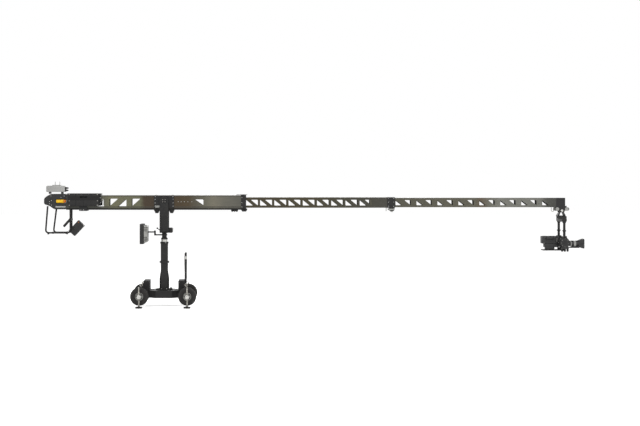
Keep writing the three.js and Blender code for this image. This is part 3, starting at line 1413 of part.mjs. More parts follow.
// Camera cradle: arms from the tilt pins down to the plate under the camera
const cradle = subgroup(head, 0, 0, headTiltZ);
const armY = headHalfWidth - headCheekThickness / 2 - runningGap - cradleArmThickness / 2;
const cradleX = cradleArmWidth / 2;
let cradleShape = box(cradlePlateLength + cradleX, cradlePlateWidth, cradlePlateThickness,
  cradleX - (cradlePlateLength + cradleX) / 2, 0, -cradleDrop - cradlePlateThickness / 2);
cradleShape = join(cradleShape, box(cradleArmWidth, 2 * armY + cradleArmThickness, cradlePlateThickness,
  0, 0, -cradleDrop - cradlePlateThickness / 2));
for (const [, side] of sides) {
  cradleShape = join(
    cradleShape,
    box(cradleArmWidth, cradleArmThickness, cradleDrop + runningGap, 0, side * armY, -cradleDrop / 2),
    bar('y', cradleArmWidth / 2, cradleArmThickness, 0, side * armY, 0),
    bar('y', tiltPinRadius, headCheekThickness + cradleArmThickness / 2,
      0, side * (armY + (headCheekThickness + cradleArmThickness / 2) / 2), 0),
  );
}
piece(cradle, 'camera_cradle', cradleShape, 'blackSteel');

// Camera body with its lower part and foot, lens and matte box
const cameraMid = (height) => height - headTiltHeight;
const cameraX = (x) => x - panAxisX;
const cameraBlock = (rearX, length, low, high, width) => (
  box(length, width, high - low, cameraX(rearX) + length / 2, 0, cameraMid((high + low) / 2)));
const cameraFront = cameraRearX + cameraLength;
const bodyOutline = shifted(chamfered(cameraWidth, cameraHeight, cameraChamfer), 0,
  cameraMid(cameraBottom + cameraHeight / 2));
const cameraFootLow = headTiltHeight - cradleDrop + runningGap;
const cameraShape = join(
  beam(outline(bodyOutline), cameraLength, cameraX(cameraRearX)),
  cameraBlock(cameraRearX + cameraLowerSetback, cameraLength - cameraLowerSetback, cameraLowerBottom, cameraLowerTop,
    cameraWidth - 2 * cameraChamfer),
  cameraBlock(cameraRearX + cameraFootSetback, cameraFootLength, cameraFootLow, cameraLowerBottom + runningGap,
    cameraWidth - 2 * cameraChamfer),
);
piece(cradle, 'camera_body', cameraShape, 'blackPlastic');

const lensZ = cameraMid(cameraAxisHeight);
const lensRearX = cameraFront + lensRearSetback;
const lensFrontX = lensRearX + lensStartLength + lensBarrelLength;
const lensGap = lensRearSetback - runningGap;
const lensShape = join(
  bar('x', lensStartRadius, lensStartLength + lensGap, cameraX(lensRearX) + (lensStartLength - lensGap) / 2, 0, lensZ, wheelSides),
  bar('x', lensBarrelRadius, lensBarrelLength,
    cameraX(lensRearX) + lensStartLength + lensBarrelLength / 2, 0, lensZ, wheelSides),
  box(lensHousingLength, lensBarrelRadius, lensBarrelRadius + lensHousingDrop,
    cameraX(lensFrontX) - lensBarrelLength / 2, 0, lensZ - (lensBarrelRadius + lensHousingDrop) / 2),
);
piece(cradle, 'lens', lensShape, 'lensGrey');

const square = (size, x) => chamfered(size, size, size / 8).map(([y, z]) => [x, y, lensZ + z]);
const matteX = cameraX(lensFrontX) - matteLength / 3;
const matteBox = cut(
  loft([square(matteRearSize, matteX), square(matteFrontSize, matteX + matteLength)]),
  loft([
    square(matteRearSize, matteX + 2 * matteWall),
    square(matteFrontSize - 2 * matteWall, matteX + matteLength + matteWall),
  ]),
  bore('x', lensBarrelRadius, matteLength, matteX, 0, lensZ, wheelSides),
);
piece(cradle, 'matte_box', matteBox, 'blackPlastic');

export default crane;
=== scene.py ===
# %% [markdown]
# # A telescoping camera crane
# The crane is a wheeled dolly with a turning column, a long boom of three nested truss tubes and a
# remote head that carries a film camera. The exact frame comes from the CAD model. It is loaded
# first and never moved. This notebook gives each part its finish, and adds the fine pieces that
# the CAD solids leave out: threads, treads, bolts, grooves, screens and glass.

# %% Load the frame
import math
import bmesh
import bpy
import numpy as np
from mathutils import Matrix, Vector


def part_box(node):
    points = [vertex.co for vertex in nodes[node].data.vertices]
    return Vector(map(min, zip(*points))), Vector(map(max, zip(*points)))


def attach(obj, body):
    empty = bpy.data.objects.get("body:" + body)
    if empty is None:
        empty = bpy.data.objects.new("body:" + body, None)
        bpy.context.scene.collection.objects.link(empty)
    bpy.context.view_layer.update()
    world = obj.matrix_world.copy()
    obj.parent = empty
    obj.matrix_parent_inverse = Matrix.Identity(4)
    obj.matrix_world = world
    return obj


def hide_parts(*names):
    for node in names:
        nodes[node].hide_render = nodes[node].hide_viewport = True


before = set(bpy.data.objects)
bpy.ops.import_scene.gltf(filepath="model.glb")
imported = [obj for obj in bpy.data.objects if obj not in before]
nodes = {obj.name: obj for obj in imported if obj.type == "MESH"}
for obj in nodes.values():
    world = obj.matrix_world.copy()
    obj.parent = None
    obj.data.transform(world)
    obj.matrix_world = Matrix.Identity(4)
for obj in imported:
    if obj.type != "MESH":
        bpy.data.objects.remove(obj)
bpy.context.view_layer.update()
X, Y, Z = (1, 0, 0), (0, 1, 0), (0, 0, 1)
sides = (("near", -1), ("far", 1))
wheel_names = [f"{end}_{side}" for end in ("rear", "front") for side, _ in sides]


def box_mm(node):
    """The low and the high corner of a node's box, in millimetres."""
    return [np.array(corner) * 1000 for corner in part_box(node)]


# %% [markdown]
# ## Helpers for colour and materials
# A colour is written as the sRGB hex value that a screen shows. Blender's sockets work in linear
# light, so one function converts it. A second small function adds a node with its settings and its
# links, which keeps each material short enough to read as one recipe.

# %% Colour and node helpers
def linear(code):
    """An sRGB hex colour as the linear red, green, blue and alpha that sockets take: a value up to
    0.04045 is divided by 12.92, and a larger one is ((value + 0.055) / 1.055) to the power 2.4."""
    srgb = np.array([int(code[i:i + 2], 16) for i in (1, 3, 5)]) / 255
    light = np.where(srgb <= 0.04045, srgb / 12.92, ((srgb + 0.055) / 1.055) ** 2.4)
    return tuple(float(value) for value in light) + (1.0,)


def wire(tree, node, inputs):
    """Gives sockets, named or in order, a plain value or the first output of another node."""
    for socket, value in inputs.items() if isinstance(inputs, dict) else enumerate(inputs):
        if isinstance(value, bpy.types.Node):
            value = value.outputs[0]
        if isinstance(value, bpy.types.NodeSocket):
            tree.links.new(value, node.inputs[socket])
        else:
            node.inputs[socket].default_value = value


def add_node(tree, kind, inputs=(), stops=(), **settings):
    """Adds a node with its settings and sockets. stops are a ramp's (position, hex colour)."""
    node = tree.nodes.new(kind)
    for name, value in settings.items():
        setattr(node, name, value)
    wire(tree, node, inputs)
    for index, (position, code) in enumerate(stops):
        elements = node.color_ramp.elements
        element = elements[index] if index < len(elements) else elements.new(position)
        element.position, element.color = position, linear(code)
    return node


def new_finish(name, **sockets):
    """An empty finish: its tree, its shader with constant sockets set, and Object coordinates."""
    material = bpy.data.materials.new(name)
    material.use_nodes = True
    tree = material.node_tree
    shader = tree.nodes["Principled BSDF"]
    wire(tree, shader, {socket.replace("_", " "): value for socket, value in sockets.items()})
    return material, tree, shader, add_node(tree, "ShaderNodeTexCoord").outputs["Object"]


def per_metre(size_mm):
    """The texture scale at which one feature of a pattern is size_mm across."""
    return 1000.0 / size_mm


def patterned(name, tones, patches, grain, rough, bump=None, chip_at=None, **sockets):
    """A finish whose tone follows soft patches, and whose bump follows a fine grain. patches and
    grain are a noise's (millimetres, detail, roughness). rough is (the noise that it follows, from,
    to, low, high), bump is (strength, metres), and above chip_at 9 mm chips show grey primer."""
    material, tree, shader, place = new_finish(name, **sockets)
    noises = {key: add_node(tree, "ShaderNodeTexNoise", {
        "Vector": place, "Scale": per_metre(sizes[0]), "Detail": sizes[1], "Roughness": sizes[2]})
        for key, sizes in (("patches", patches), ("grain", grain)) if sizes}
    colour = add_node(tree, "ShaderNodeValToRGB", [noises["patches"]], tones)
    if chip_at:
        chips = add_node(tree, "ShaderNodeTexNoise", {
            "Vector": place, "Scale": per_metre(9), "Detail": 3.0, "Roughness": 0.7})
        chipped = add_node(tree, "ShaderNodeMapRange", (chips, chip_at, chip_at + 0.02))
        colour = add_node(tree, "ShaderNodeMix", {0: chipped, 6: colour, 7: linear("#4c4c4a")},
                          data_type="RGBA").outputs[2]
    roughness = add_node(tree, "ShaderNodeMapRange", (noises[rough[0]], *rough[1:]))
    wire(tree, shader, {"Base Color": colour, "Roughness": roughness})
    if bump:
        wire(tree, shader, {"Normal": add_node(tree, "ShaderNodeBump", {
            "Height": noises["grain"], "Strength": bump[0], "Distance": bump[1]})})
    return material


print("helpers ready; mid grey #808080 is", round(linear("#808080")[0], 3), "in linear light")

# %% [markdown]
# ## Satin black paint
# The column, the chassis and the fork are steel, sprayed with satin black two-pack paint. Sprayed
# paint has a fine orange peel about 1.5 mm across, and on rental gear it is a little dusty and
# polished by hands, so its roughness changes in soft patches about 60 mm wide. A noise at each of
# the two sizes gives both. Small chips show the grey primer.

# %% Satin black paint
def satin_paint(name, code, worn_code, rough=0.42, chip_at=0.72):
    """Sprayed two-pack paint: orange peel bump, soft dusty patches and a few small chips."""
    return patterned(name, [(0.3, code), (0.75, worn_code)], (60, 4.0, 0.6), (1.5, 2.0, 0.5),
                     ("patches", 0.3, 0.75, rough, rough + 0.2), (0.12, 0.0004), chip_at,
                     Specular_IOR_Level=0.22)


black_paint = satin_paint("two_pack_satin_black_paint", "#121213", "#201f1e")
fork_paint = satin_paint("two_pack_graphite_paint", "#141415", "#22211f", 0.4)
iron_paint = satin_paint("black_painted_cast_iron", "#111112", "#1d1c1b", 0.66, 0.69)
yellow_enamel = satin_paint("yellow_stove_enamel", "#e0b320", "#c89b1a", 0.34, 0.74)
print("sprayed finishes:", black_paint.name, fork_paint.name, iron_paint.name, yellow_enamel.name)

# %% [markdown]
# ## Anodised aluminium tubes
# The three boom tubes are folded and welded aluminium, anodised in dull olive and bronze. Brushing
# before the bath leaves fine lines along the tube. A noise that is stretched along X draws the
# lines, about 0.8 mm apart; they are drawn 2.5 mm apart so that they show. A ramp along X changes
# the tone along each tube; on the outer tube its brown and olive bands are painted reflections of
# the surroundings over the olive anodising.

# %% Anodised aluminium
def anodised(name, stops, start_mm, end_mm, rough=0.36, metal=0.55, rail_mm=None):
    """Anodised aluminium whose tone follows stops along X. Below rail_mm it is a black rail."""
    material, tree, shader, place = new_finish(name, Metallic=metal, Specular_IOR_Level=0.35)
    axes = add_node(tree, "ShaderNodeSeparateXYZ", [place])
    stretch = add_node(tree, "ShaderNodeMapping", {"Vector": place, "Scale": (0.02, 1.0, 1.0)})
    lines = add_node(tree, "ShaderNodeTexNoise", {
        "Vector": stretch, "Scale": per_metre(2.5), "Detail": 3.0})
    cloud = add_node(tree, "ShaderNodeTexNoise", {
        "Vector": place, "Scale": per_metre(180), "Detail": 4.0, "Roughness": 0.6})
    along = add_node(tree, "ShaderNodeMapRange", (axes, start_mm / 1000, end_mm / 1000))
    wander = add_node(tree, "ShaderNodeMath", (cloud, 0.06, -0.03), operation="MULTIPLY_ADD")
    tone_along_x = add_node(tree, "ShaderNodeMath", (along, wander), operation="ADD")
    tone = add_node(tree, "ShaderNodeValToRGB", [tone_along_x], stops)
    shade = add_node(tree, "ShaderNodeMapRange", (lines, 0.25, 0.75, 0.76, 1.08))
    colour = add_node(tree, "ShaderNodeHueSaturation", {"Color": tone, "Value": shade})
    if rail_mm:
        below = add_node(tree, "ShaderNodeMapRange", (
            axes.outputs["Z"], rail_mm / 1000, rail_mm / 1000 + 0.0005, 1.0, 0.0))
        colour = add_node(tree, "ShaderNodeMix", {0: below, 6: colour, 7: linear("#171716")},
                          data_type="RGBA").outputs[2]
    uneven = add_node(tree, "ShaderNodeMapRange", (lines, 0.2, 0.8, rough - 0.07, rough + 0.1))
    bump = add_node(tree, "ShaderNodeBump", {"Height": lines, "Strength": 0.1, "Distance": 0.0003})
    wire(tree, shader, {"Base Color": colour, "Roughness": uneven, "Normal": bump})
    return material


outer_low, outer_high = box_mm("outer_tube")
# The stops paint reflections of the surroundings as brown and olive bands along the outer tube,
# over its olive anodising.
olive_tube_painted_reflections = anodised("olive_anodised_aluminium", [
    (0.0, "#3b3b37"), (0.2, "#494944"), (0.25, "#605e4b"), (0.42, "#5a5a48"), (0.45, "#3d3328"),
    (0.52, "#3c3227"), (0.6, "#403526"), (0.7, "#443a2b"), (0.74, "#4b473d"), (0.8, "#5b594e"),
    (0.84, "#686458"), (0.92, "#5a5850"), (1.0, "#53524b")],
    outer_low[0], outer_high[0], rail_mm=1509)
tube_bronze = anodised("bronze_anodised_aluminium", [
    (0.0, "#3d382b"), (0.45, "#3f3a2c"), (0.7, "#3c3a30"), (1.0, "#3c3b36")], 1300, 3800)
tube_dark_olive = anodised("dark_olive_anodised_aluminium", [
    (0.0, "#48463c"), (0.5, "#4a483e"), (0.54, "#4a4033"), (0.59, "#55544c"), (0.64, "#5f5f59"),
    (0.9, "#5b5b56"), (0.95, "#3b3b37"), (1.0, "#363633")], 3900, 6640)
silver_anodised = anodised("silver_anodised_aluminium", [
    (0.0, "#8b8b89"), (1.0, "#9a9a98")], -2000, -1600, rough=0.5, metal=0.3)
flange_anodised = anodised("dark_flange_aluminium", [
    (0.0, "#3a3833"), (1.0, "#3e3c37")], -2000, 2000)
black_anodised = anodised("black_anodised_aluminium", [
    (0.0, "#1c1c1d"), (1.0, "#222222")], -2000, 7000, rough=0.4, metal=0.2)
print("the outer tube's tones run from X", round(outer_low[0]), "to", round(outer_high[0]), "mm")

# %% [markdown]
# ## Bare steel and cast aluminium
# Bolts, the bearing ring and the jack screws are turned steel: bright, with tool marks round the
# axis. The wheel rims are sand-cast aluminium with machined faces, so they are duller, with a
# grain of about 2 mm. Both are metals at the default IOR, and only roughness and grain differ.

# %% Bare metals
def bare_metal(name, code, dull_code, rough, grain_mm, bump_strength):
    """A bare metal: soft tarnish in 25 mm patches, and a grain of tool marks or casting sand."""
    return patterned(name, [(0.35, code), (0.7, dull_code)], (25, 3.0, 0.5), (grain_mm, 3.0, 0.6),
                     ("grain", 0.3, 0.7, rough - 0.08, rough + 0.1), (bump_strength, 0.0003),
                     Metallic=1.0)


bright_steel = bare_metal("turned_bright_steel", "#b8b8b5", "#a3a29e", 0.3, 0.8, 0.08)
oiled_steel = bare_metal("oiled_jack_screw_steel", "#a7a59f", "#77746d", 0.34, 1.0, 0.1)
black_steel = bare_metal("blackened_steel", "#343434", "#232222", 0.36, 1.2, 0.1)
cast_rim = bare_metal("cast_aluminium", "#b0b0ae", "#94938f", 0.42, 2.0, 0.2)
dull_rim = bare_metal("dull_cast_wheel_rim", "#83837f", "#686865", 0.5, 2.0, 0.25)
print("bare metals:", bright_steel.name, oiled_steel.name, black_steel.name, cast_rim.name)

# %% [markdown]
# ## Plastic, rubber and glass
# Equipment housings are moulded ABS with a spark-eroded grain of about 0.8 mm, drawn at 1.5 mm.
# Tyres, pads and grips are black rubber: very rough, with a grey bloom of dust in soft patches.
# Screens are dark glass over black, and the lens front is coated glass with a faint violet sheen.
# Glass is smooth, and faint smears change its roughness alone.

# %% Plastic, rubber and glass
def moulded(name, code, worn_code, rough=0.55, grain_mm=1.5, bump_strength=0.25, bloom_mm=45):
    """Moulded plastic or rubber: a spark-eroded grain, and a worn tone in soft patches."""
    return patterned(name, [(0.35, code), (0.75, worn_code)], (bloom_mm, 4.0, 0.65),
                     (grain_mm, 2.0, 0.5), ("patches", 0.3, 0.7, rough, rough + 0.15),
                     (bump_strength, 0.0004), Specular_IOR_Level=0.3)


def glossy_glass(name, code, tint_code, coat):
    """A dark glass front with a coat, and smears about 35 mm across."""
    return patterned(name, [(0.4, code), (0.7, tint_code)], (35, 3.0, 0.5), None,
                     ("patches", 0.4, 0.8, 0.05, 0.14), Coat_Weight=coat, Coat_Roughness=0.03)


abs_black = moulded("grained_black_abs", "#171718", "#232322")
camera_black = moulded("black_moulded_camera_shell", "#1c1c1d", "#2a2a2a", 0.5)
tyre_rubber = moulded("solid_tyre_rubber", "#191919", "#2c2a28", 0.72, 3.0, 0.35, 70)
grip_rubber = moulded("black_grip_rubber", "#141414", "#222120", 0.65, 1.2, 0.3)
grey_abs = moulded("light_grey_abs", "#8b8b88", "#757571", 0.5)
orange_cap = moulded("orange_moulded_cap", "#c96a1b", "#a95715", 0.45)
screen_glass = glossy_glass("dark_screen_glass", "#0b0c0e", "#14161a", 0.6)
lens_glass = glossy_glass("coated_lens_glass", "#0d0a18", "#1d1730", 1.0)
print("moulded and glass finishes:", abs_black.name, tyre_rubber.name, screen_glass.name)

# %% [markdown]
# ## Finishes for the CAD nodes
# A CAD node keeps its mesh and takes a finish in its material slot. The table below says which
# node is made of what. Nodes that a finer piece stands for later still get one, so that nothing
# depends on the order of the cells.

# %% Give every CAD node its finish
node_finishes = {
    black_paint: ["chassis_frame", "pedestal", "rear_axle", "steering_knuckle_near",
                  "steering_knuckle_far", "tie_rod", "steering_yoke", "swivel_post", "tilt_saddle",
                  "front_collar", "monitor_arm_lower", "monitor_arm_upper", "nose_block",
                  "level_bracket", "head_frame", "camera_cradle", "operator_frame",
                  "pedestal_collar", "middle_collar"],
    fork_paint: ["tilt_fork"],
    iron_paint: ["ballast_box_rear", "ballast_box_front", "counterweight_near",
                 "counterweight_far"],
    bright_steel: ["bearing_ring"],
    black_anodised: ["steering_pole", "counterweight_carriage"],
    tyre_rubber: [f"tyre_{wheel}" for wheel in wheel_names],
    cast_rim: [f"rim_{wheel}" for wheel in wheel_names],
    oiled_steel: [f"jack_screw_{wheel}" for wheel in wheel_names],
    grip_rubber: [f"jack_foot_{wheel}" for wheel in wheel_names] + ["control_grip", "guide_roller"],
    abs_black: ["junction_box", "tail_housing", "pan_unit", "tilt_motor", "monitor_housing",
                "console_monitor"],
    black_steel: ["brake_lever"],
    olive_tube_painted_reflections: ["outer_tube"],
    tube_bronze: ["middle_tube"],
    tube_dark_olive: ["inner_tube"],
    yellow_enamel: ["drive_motor"],
    silver_anodised: ["radio_box"],
    camera_black: ["camera_body", "lens", "matte_box"],
}
for finish, names in node_finishes.items():
    for name in names:
        nodes[name].data.materials.clear()
        nodes[name].data.materials.append(finish)
dressed = {name for names in node_finishes.values() for name in names}
print("nodes with a finish:", len(dressed), "left out:", sorted(set(nodes) - dressed))

# %% [markdown]
# ## Helpers for new pieces
# Every new piece is a surface worked out as whole arrays: a grid of points, one direction along
# the shape and one round it. Each shape function below returns such a grid in millimetres, in the
# same frame as the CAD. One function joins the grids of a piece into a mesh, closes its poles and
# seams, turns its faces outwards and says which body carries it.

# %% Grids
def round_angles(steps):
    """The angles of evenly spaced points round a circle."""
    return np.arange(steps) * 2 * np.pi / steps


def square_axes(direction):
    """Three unit directions at right angles to each other, of which the last is direction."""
    along = np.array(direction, float)
    along /= np.linalg.norm(along)
    side = np.cross(np.eye(3)[np.argmin(np.abs(along))], along)
    side /= np.linalg.norm(side)
    return side, np.cross(along, side), along


def turned(profile, centre=(0, 0, 0), axis=Z, steps=40, swell=None):
    """A grid turned round an axis. A profile point is (place along the axis, radius); the point at
    step j is centre + place * along + radius * (cos a * side + sin a * up), a being its angle.
    swell gives a factor of the radius for each angle."""
    side, up, along = square_axes(axis)
    place, radius = np.array(profile, float).T
    angle = round_angles(steps)
    ring = np.cos(angle)[:, None] * side + np.sin(angle)[:, None] * up
    if swell is not None:
        ring = ring * swell(angle)[:, None]
    return np.array(centre, float) + place[:, None, None] * along + radius[:, None, None] * ring


def smooth_path(corners, per_corner=6, radius=30.0):
    """A path through corner points whose bends follow a quadratic curve that starts and ends
    radius before and after each corner: b(t) = (1-t)^2 a + 2t(1-t) corner + t^2 c."""
    corners = np.array(corners, float)
    t = np.linspace(0, 1, per_corner)[:, None]
    path = [corners[:1]]
    for before, corner, after in zip(corners[:-2], corners[1:-1], corners[2:]):
        back, on = before - corner, after - corner
        cut = min(radius, np.linalg.norm(back) * 0.45, np.linalg.norm(on) * 0.45)
        a = corner + back / np.linalg.norm(back) * cut
        c = corner + on / np.linalg.norm(on) * cut
        path.append((1 - t) ** 2 * a + 2 * t * (1 - t) * corner + t ** 2 * c)
    return np.vstack(path + [corners[-1:]])


def swept(path, radius, steps=20):
    """A closed round tube along a path. Each ring stands square to the path, and its axes are
    carried on from the ring before by projection, so the tube doesn't twist. radius may be one
    per point."""
    path = np.array(path, float)
    tangent = np.gradient(path, axis=0)
    tangent /= np.linalg.norm(tangent, axis=1)[:, None]
    side = square_axes(tangent[0])[0]
    across = []
    for along in tangent:
        side = side - along * side.dot(along)
        side /= np.linalg.norm(side)
        across.append(side)
    across = np.array(across)
    ups = np.cross(tangent, across)
    angle = round_angles(steps)[None, :, None]
    size = np.broadcast_to(np.array(radius, float), len(path))[:, None, None]
    grid = path[:, None] + size * (np.cos(angle) * across[:, None] + np.sin(angle) * ups[:, None])
    caps = [np.repeat(path[i][None, None], steps, axis=1) for i in (0, -1)]
    return np.concatenate([caps[0], grid, caps[1]])


def soft_block(centre, size, corner=6.0, edge=2.5, axis=Z, steps=5, taper=1.0):
    """A block with round corners: a rounded rectangle carried along axis. Its half width at a
    place is the full one less edge * (1 - sin a) near each end, so the end edges are round too.
    A ring at 0.97 of each end's outline keeps the shading of the rounded edge off the flat end.
    taper is how much narrower the far end is."""
    side, up, along = {Z: np.eye(3), Y: np.array([[1, 0, 0], [0, 0, -1], [0, 1, 0]]),
                       X: np.array([[0, 1, 0], [0, 0, 1], [1, 0, 0]])}[tuple(axis)]
    wide, high, deep = (abs(np.array(size, float) @ v) / 2 for v in (side, up, along))
    corner = min(corner, wide * 0.98, high * 0.98)
    turn = np.concatenate([np.linspace(0, np.pi / 2, steps) + k * np.pi / 2 for k in range(4)])
    middle = np.repeat([[1, 1], [-1, 1], [-1, -1], [1, -1]], steps, axis=0)
    rise = np.linspace(0, np.pi / 2, 4)
    inset = edge * (1 - np.sin(rise))
    inset = np.concatenate([inset, inset[::-1]])
    lift = deep - edge * (1 - np.cos(rise))
    level = np.concatenate([-lift, lift[::-1]])
    share = np.interp(level, [-deep, deep], [1.0, taper])
    unit = np.stack([np.cos(turn), np.sin(turn)], axis=1)
    outline = (np.array([wide, high]) - corner) * middle + corner * unit
    rim = outline[None] * share[:, None, None] - inset[:, None, None] * unit[None]
    grid = (np.array(centre, float) + rim[..., :1] * side + rim[..., 1:] * up
            + level[:, None, None] * along)
    middles = [np.repeat(grid[i].mean(axis=0)[None, None], grid.shape[1], axis=1) for i in (0, -1)]
    flats = [middles[i] + 0.97 * (grid[i] - middles[i]) for i in (0, -1)]
    return np.concatenate([middles[0], flats[0], grid, flats[1], middles[1]])


print("a rounded block is a grid of", soft_block((0, 0, 0), (100, 60, 40)).shape)


# %% Grids to pieces
def grid_faces(grid, loop=False):
    """Corner numbers of the quads between neighbouring points; each row closes on itself, and with
    loop the last row meets the first."""
    rows, steps = grid.shape[:2]
    i, j = np.meshgrid(np.arange(rows if loop else rows - 1), np.arange(steps), indexing="ij")
    ahead, beside = (i + 1) % rows, (j + 1) % steps
    quads = [i * steps + j, i * steps + beside, ahead * steps + beside, ahead * steps + j]
    return np.stack(quads, -1).reshape(-1, 4)


def make_piece(name, grids, finish, body, stands_for=(), loop=False):
    """Joins grids in millimetres into one mesh, merges poles and seams, turns the faces outwards,
    keeps edges sharper than 32 degrees crisp, and hangs the piece on its body."""
    points, quads, start = [], [], 0
    for grid in grids:
        points.append(grid.reshape(-1, 3) / 1000)
        quads.append(grid_faces(grid, loop) + start)
        start += grid.shape[0] * grid.shape[1]
    mesh = bpy.data.meshes.new(name)
    mesh.from_pydata(np.concatenate(points).tolist(), [], np.concatenate(quads).tolist())
    work = bmesh.new()
    work.from_mesh(mesh)
    bmesh.ops.remove_doubles(work, verts=work.verts, dist=2e-6)
    bmesh.ops.recalc_face_normals(work, faces=work.faces)
    work.to_mesh(mesh)
    work.free()
    mesh.polygons.foreach_set("use_smooth", [True] * len(mesh.polygons))
    mesh.set_sharp_from_angle(angle=math.radians(32))
    mesh.materials.append(finish)
    piece = bpy.data.objects.new(name, mesh)
    bpy.context.scene.collection.objects.link(piece)
    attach(piece, body)
    if stands_for:
        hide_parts(*stands_for)
    print(f"{name}: {len(mesh.polygons)} faces on {body}")

# %% [markdown]
# ## Wheels
# The dolly stands on solid rubber tyres about 300 mm across. A tyre is a turned shape, so its grid
# is a cross-section carried round the axle. The tread is cut into the same grid: two grooves run
# round it, and short slots cross it at a steady spacing, where the radius is 3 mm smaller. The rim
# is a turned aluminium dish with a proud hub, five bolts and five dark pockets.

# %% Tyres and rims
axle_z, axle_x, wheel_y, jack_y = 42.0, 400.0, 380.0, 490.0
wheels = [(end, name, way * axle_x, side) for end, way in (("rear", -1), ("front", 1))
          for name, side in sides]


def mirrored(half):
    """A profile that is the same on both sides of the middle, from its positive half."""
    return [(-place, radius) for place, radius in half[::-1]] + half


def tyre_grid(centre):
    """The tyre's section, closed on itself, round Y. Tread rows lose 3 mm in slots that repeat
    every 10 degrees, half a step apart on the two shoulders."""
    seat, crown, groove, steps = 64.6, 152.5, 149, 144
    rows = mirrored([(7, crown), (8, groove), (12, groove), (13, crown), (27, crown), (32, 151),
                     (38, 147), (44, 138), (46, 122), (44, 104), (36, 82), (30.5, seat)])
    grid = turned(rows, axis=Y, steps=steps)
    place, radius = np.array(rows).T[:, :, None]
    half_step = np.where(place > 0, 0.5, 0.0)
    in_slot = np.mod(round_angles(steps)[None] * 36 / (2 * np.pi) + half_step, 1) < 0.26
    depth = np.where(in_slot & (np.abs(place) > 12.5) & (radius > 145), 3.0, 0.0)
    spoke = grid * np.array([1, 0, 1])
    spoke /= np.linalg.norm(spoke, axis=2)[..., None]
    return grid - depth[..., None] * spoke + np.array(centre)


def outward(side, profile, centre, steps=40, face=0.0):
    """A turned shape round Y whose profile counts outwards from a face on its side."""
    return turned([((face + place) * side, radius) for place, radius in profile], centre, Y, steps)


def ring_of(count, radius, start=0.0):
    """Evenly spaced points on a circle: (radius cos a, radius sin a), from a start angle on."""
    return [(radius * math.cos(a), radius * math.sin(a)) for a in round_angles(count) + start]


for end, name, x, side in wheels:
    centre, body = (x, wheel_y * side, axle_z), f"wheel_{end}_{name}"
    make_piece(f"treaded_tyre_{end}_{name}", [tyre_grid(centre)], tyre_rubber, body,
               [f"tyre_{end}_{name}"], loop=True)
    make_piece(f"dished_rim_{end}_{name}", [outward(side, [
        (-36, 20.4), (-36, 29), (-34, 30), (6, 30), (8, 33), (8, 56), (3, 58.5), (-34, 58.5),
        (-36, 60), (-36, 67.5), (-34, 68.5), (-32, 66), (-30, 63.6), (30, 63.6), (32, 66),
        (34, 68.5), (36, 67.5), (36, 60), (34, 58.5), (20, 58.5), (16.5, 56), (16, 34), (18, 30),
        (34, 30), (36, 28.5), (36, 20.4)], centre, 64)],
        dull_rim, body, [f"rim_{end}_{name}"], loop=True)
    bolt = outward(side, [(15.5, 0), (15.5, 6), (21, 6), (22, 5), (22, 0)], centre, 6)
    make_piece(f"rim_bolts_{end}_{name}", [bolt + (dx, 0, dz) for dx, dz in ring_of(5, 44)],
               bright_steel, body)
    pocket = outward(side, [(14, 0), (14, 8), (17.2, 9.5), (17.4, 0)], centre, 20)
    make_piece(f"rim_pockets_{end}_{name}", [
        pocket + (dx, 0, dz) for dx, dz in ring_of(5, 45, math.pi / 5)],
        grip_rubber, body)

# %% [markdown]
# ## Screw jacks
# Each axle end carries a jack that lifts the wheel off the floor. Its screw has a 5 mm pitch, and
# that thread is worked out as one grid: the radius at a point depends on its height less its
# angle's share of a turn, so the ridge climbs as a true helix. The block that holds the screw is
# machined aluminium and shows a bright ring and a hexagon at its outer end.

# %% Jacks
def thread_grid(centre, low, high, core, depth, pitch, steps=16, per_turn=5):
    """A threaded rod: radius = core + depth * (1 - |2 f - 1|), where f is the part of a turn left
    over in height / pitch - angle / (2 pi)."""
    heights = np.linspace(low, high, int((high - low) / pitch * per_turn))
    angle = round_angles(steps)
    turn = np.mod(heights[:, None] / pitch - angle[None] / (2 * np.pi), 1)
    radius = core + depth * (1 - np.abs(2 * turn - 1))
    grid = np.stack([radius * np.cos(angle), radius * np.sin(angle),
                     np.broadcast_to(heights[:, None], radius.shape)], axis=-1) + np.array(centre)
    caps = [np.broadcast_to(np.array(centre) + (0, 0, z), (1, steps, 3)) for z in (low, high)]
    return np.concatenate([caps[0], grid, caps[1]])


block_face = jack_y + 29.5
for end, name, x, side in wheels:
    place, body = (x, jack_y * side, 0), f"jack_{end}_{name}"
    make_piece(f"jack_thread_{end}_{name}", [
        thread_grid(place, -136, 180, 10.6, 1.9, 5.0),
        turned([(179, 0), (179, 12), (183, 12), (185, 9), (204, 9), (206, 7), (206, 0)],
               place, steps=6),
    ], oiled_steel, body, [f"jack_screw_{end}_{name}"])
    make_piece(f"jack_pad_{end}_{name}", [turned([
        (-146, 0), (-146, 55), (-144, 59), (-127, 59), (-123, 56), (-120, 46), (-117, 24),
        (-115, 20), (-109, 20), (-108, 18), (-108, 13), (-130, 13), (-130, 0)], place, steps=48)],
        grip_rubber, body, [f"jack_foot_{end}_{name}"])
    make_piece(f"jack_block_cap_{end}_{name}", [
        outward(side, [(0, 0), (0, 33), (3, 34), (4.5, 32), (4.5, 24), (2, 22), (2, 0)],
                (x, 0, axle_z), face=block_face),
        outward(side, [(1.5, 0), (1.5, 13), (7.5, 13), (9, 11.5), (9, 0)], (x, 0, axle_z), 6,
                block_face),
    ], bright_steel, "chassis" if end == "rear" else f"knuckle_{name}")

# %% [markdown]
# ## Column bearing and bolts
# The column ends in a black clamp collar, a bright bearing ring and the turning cap of the swivel.
# They are lathe work, so their edges get the small chamfers a lathe leaves. The flange at the foot
# is held by eight cap screws: one screw head is turned once and repeated round the flange.

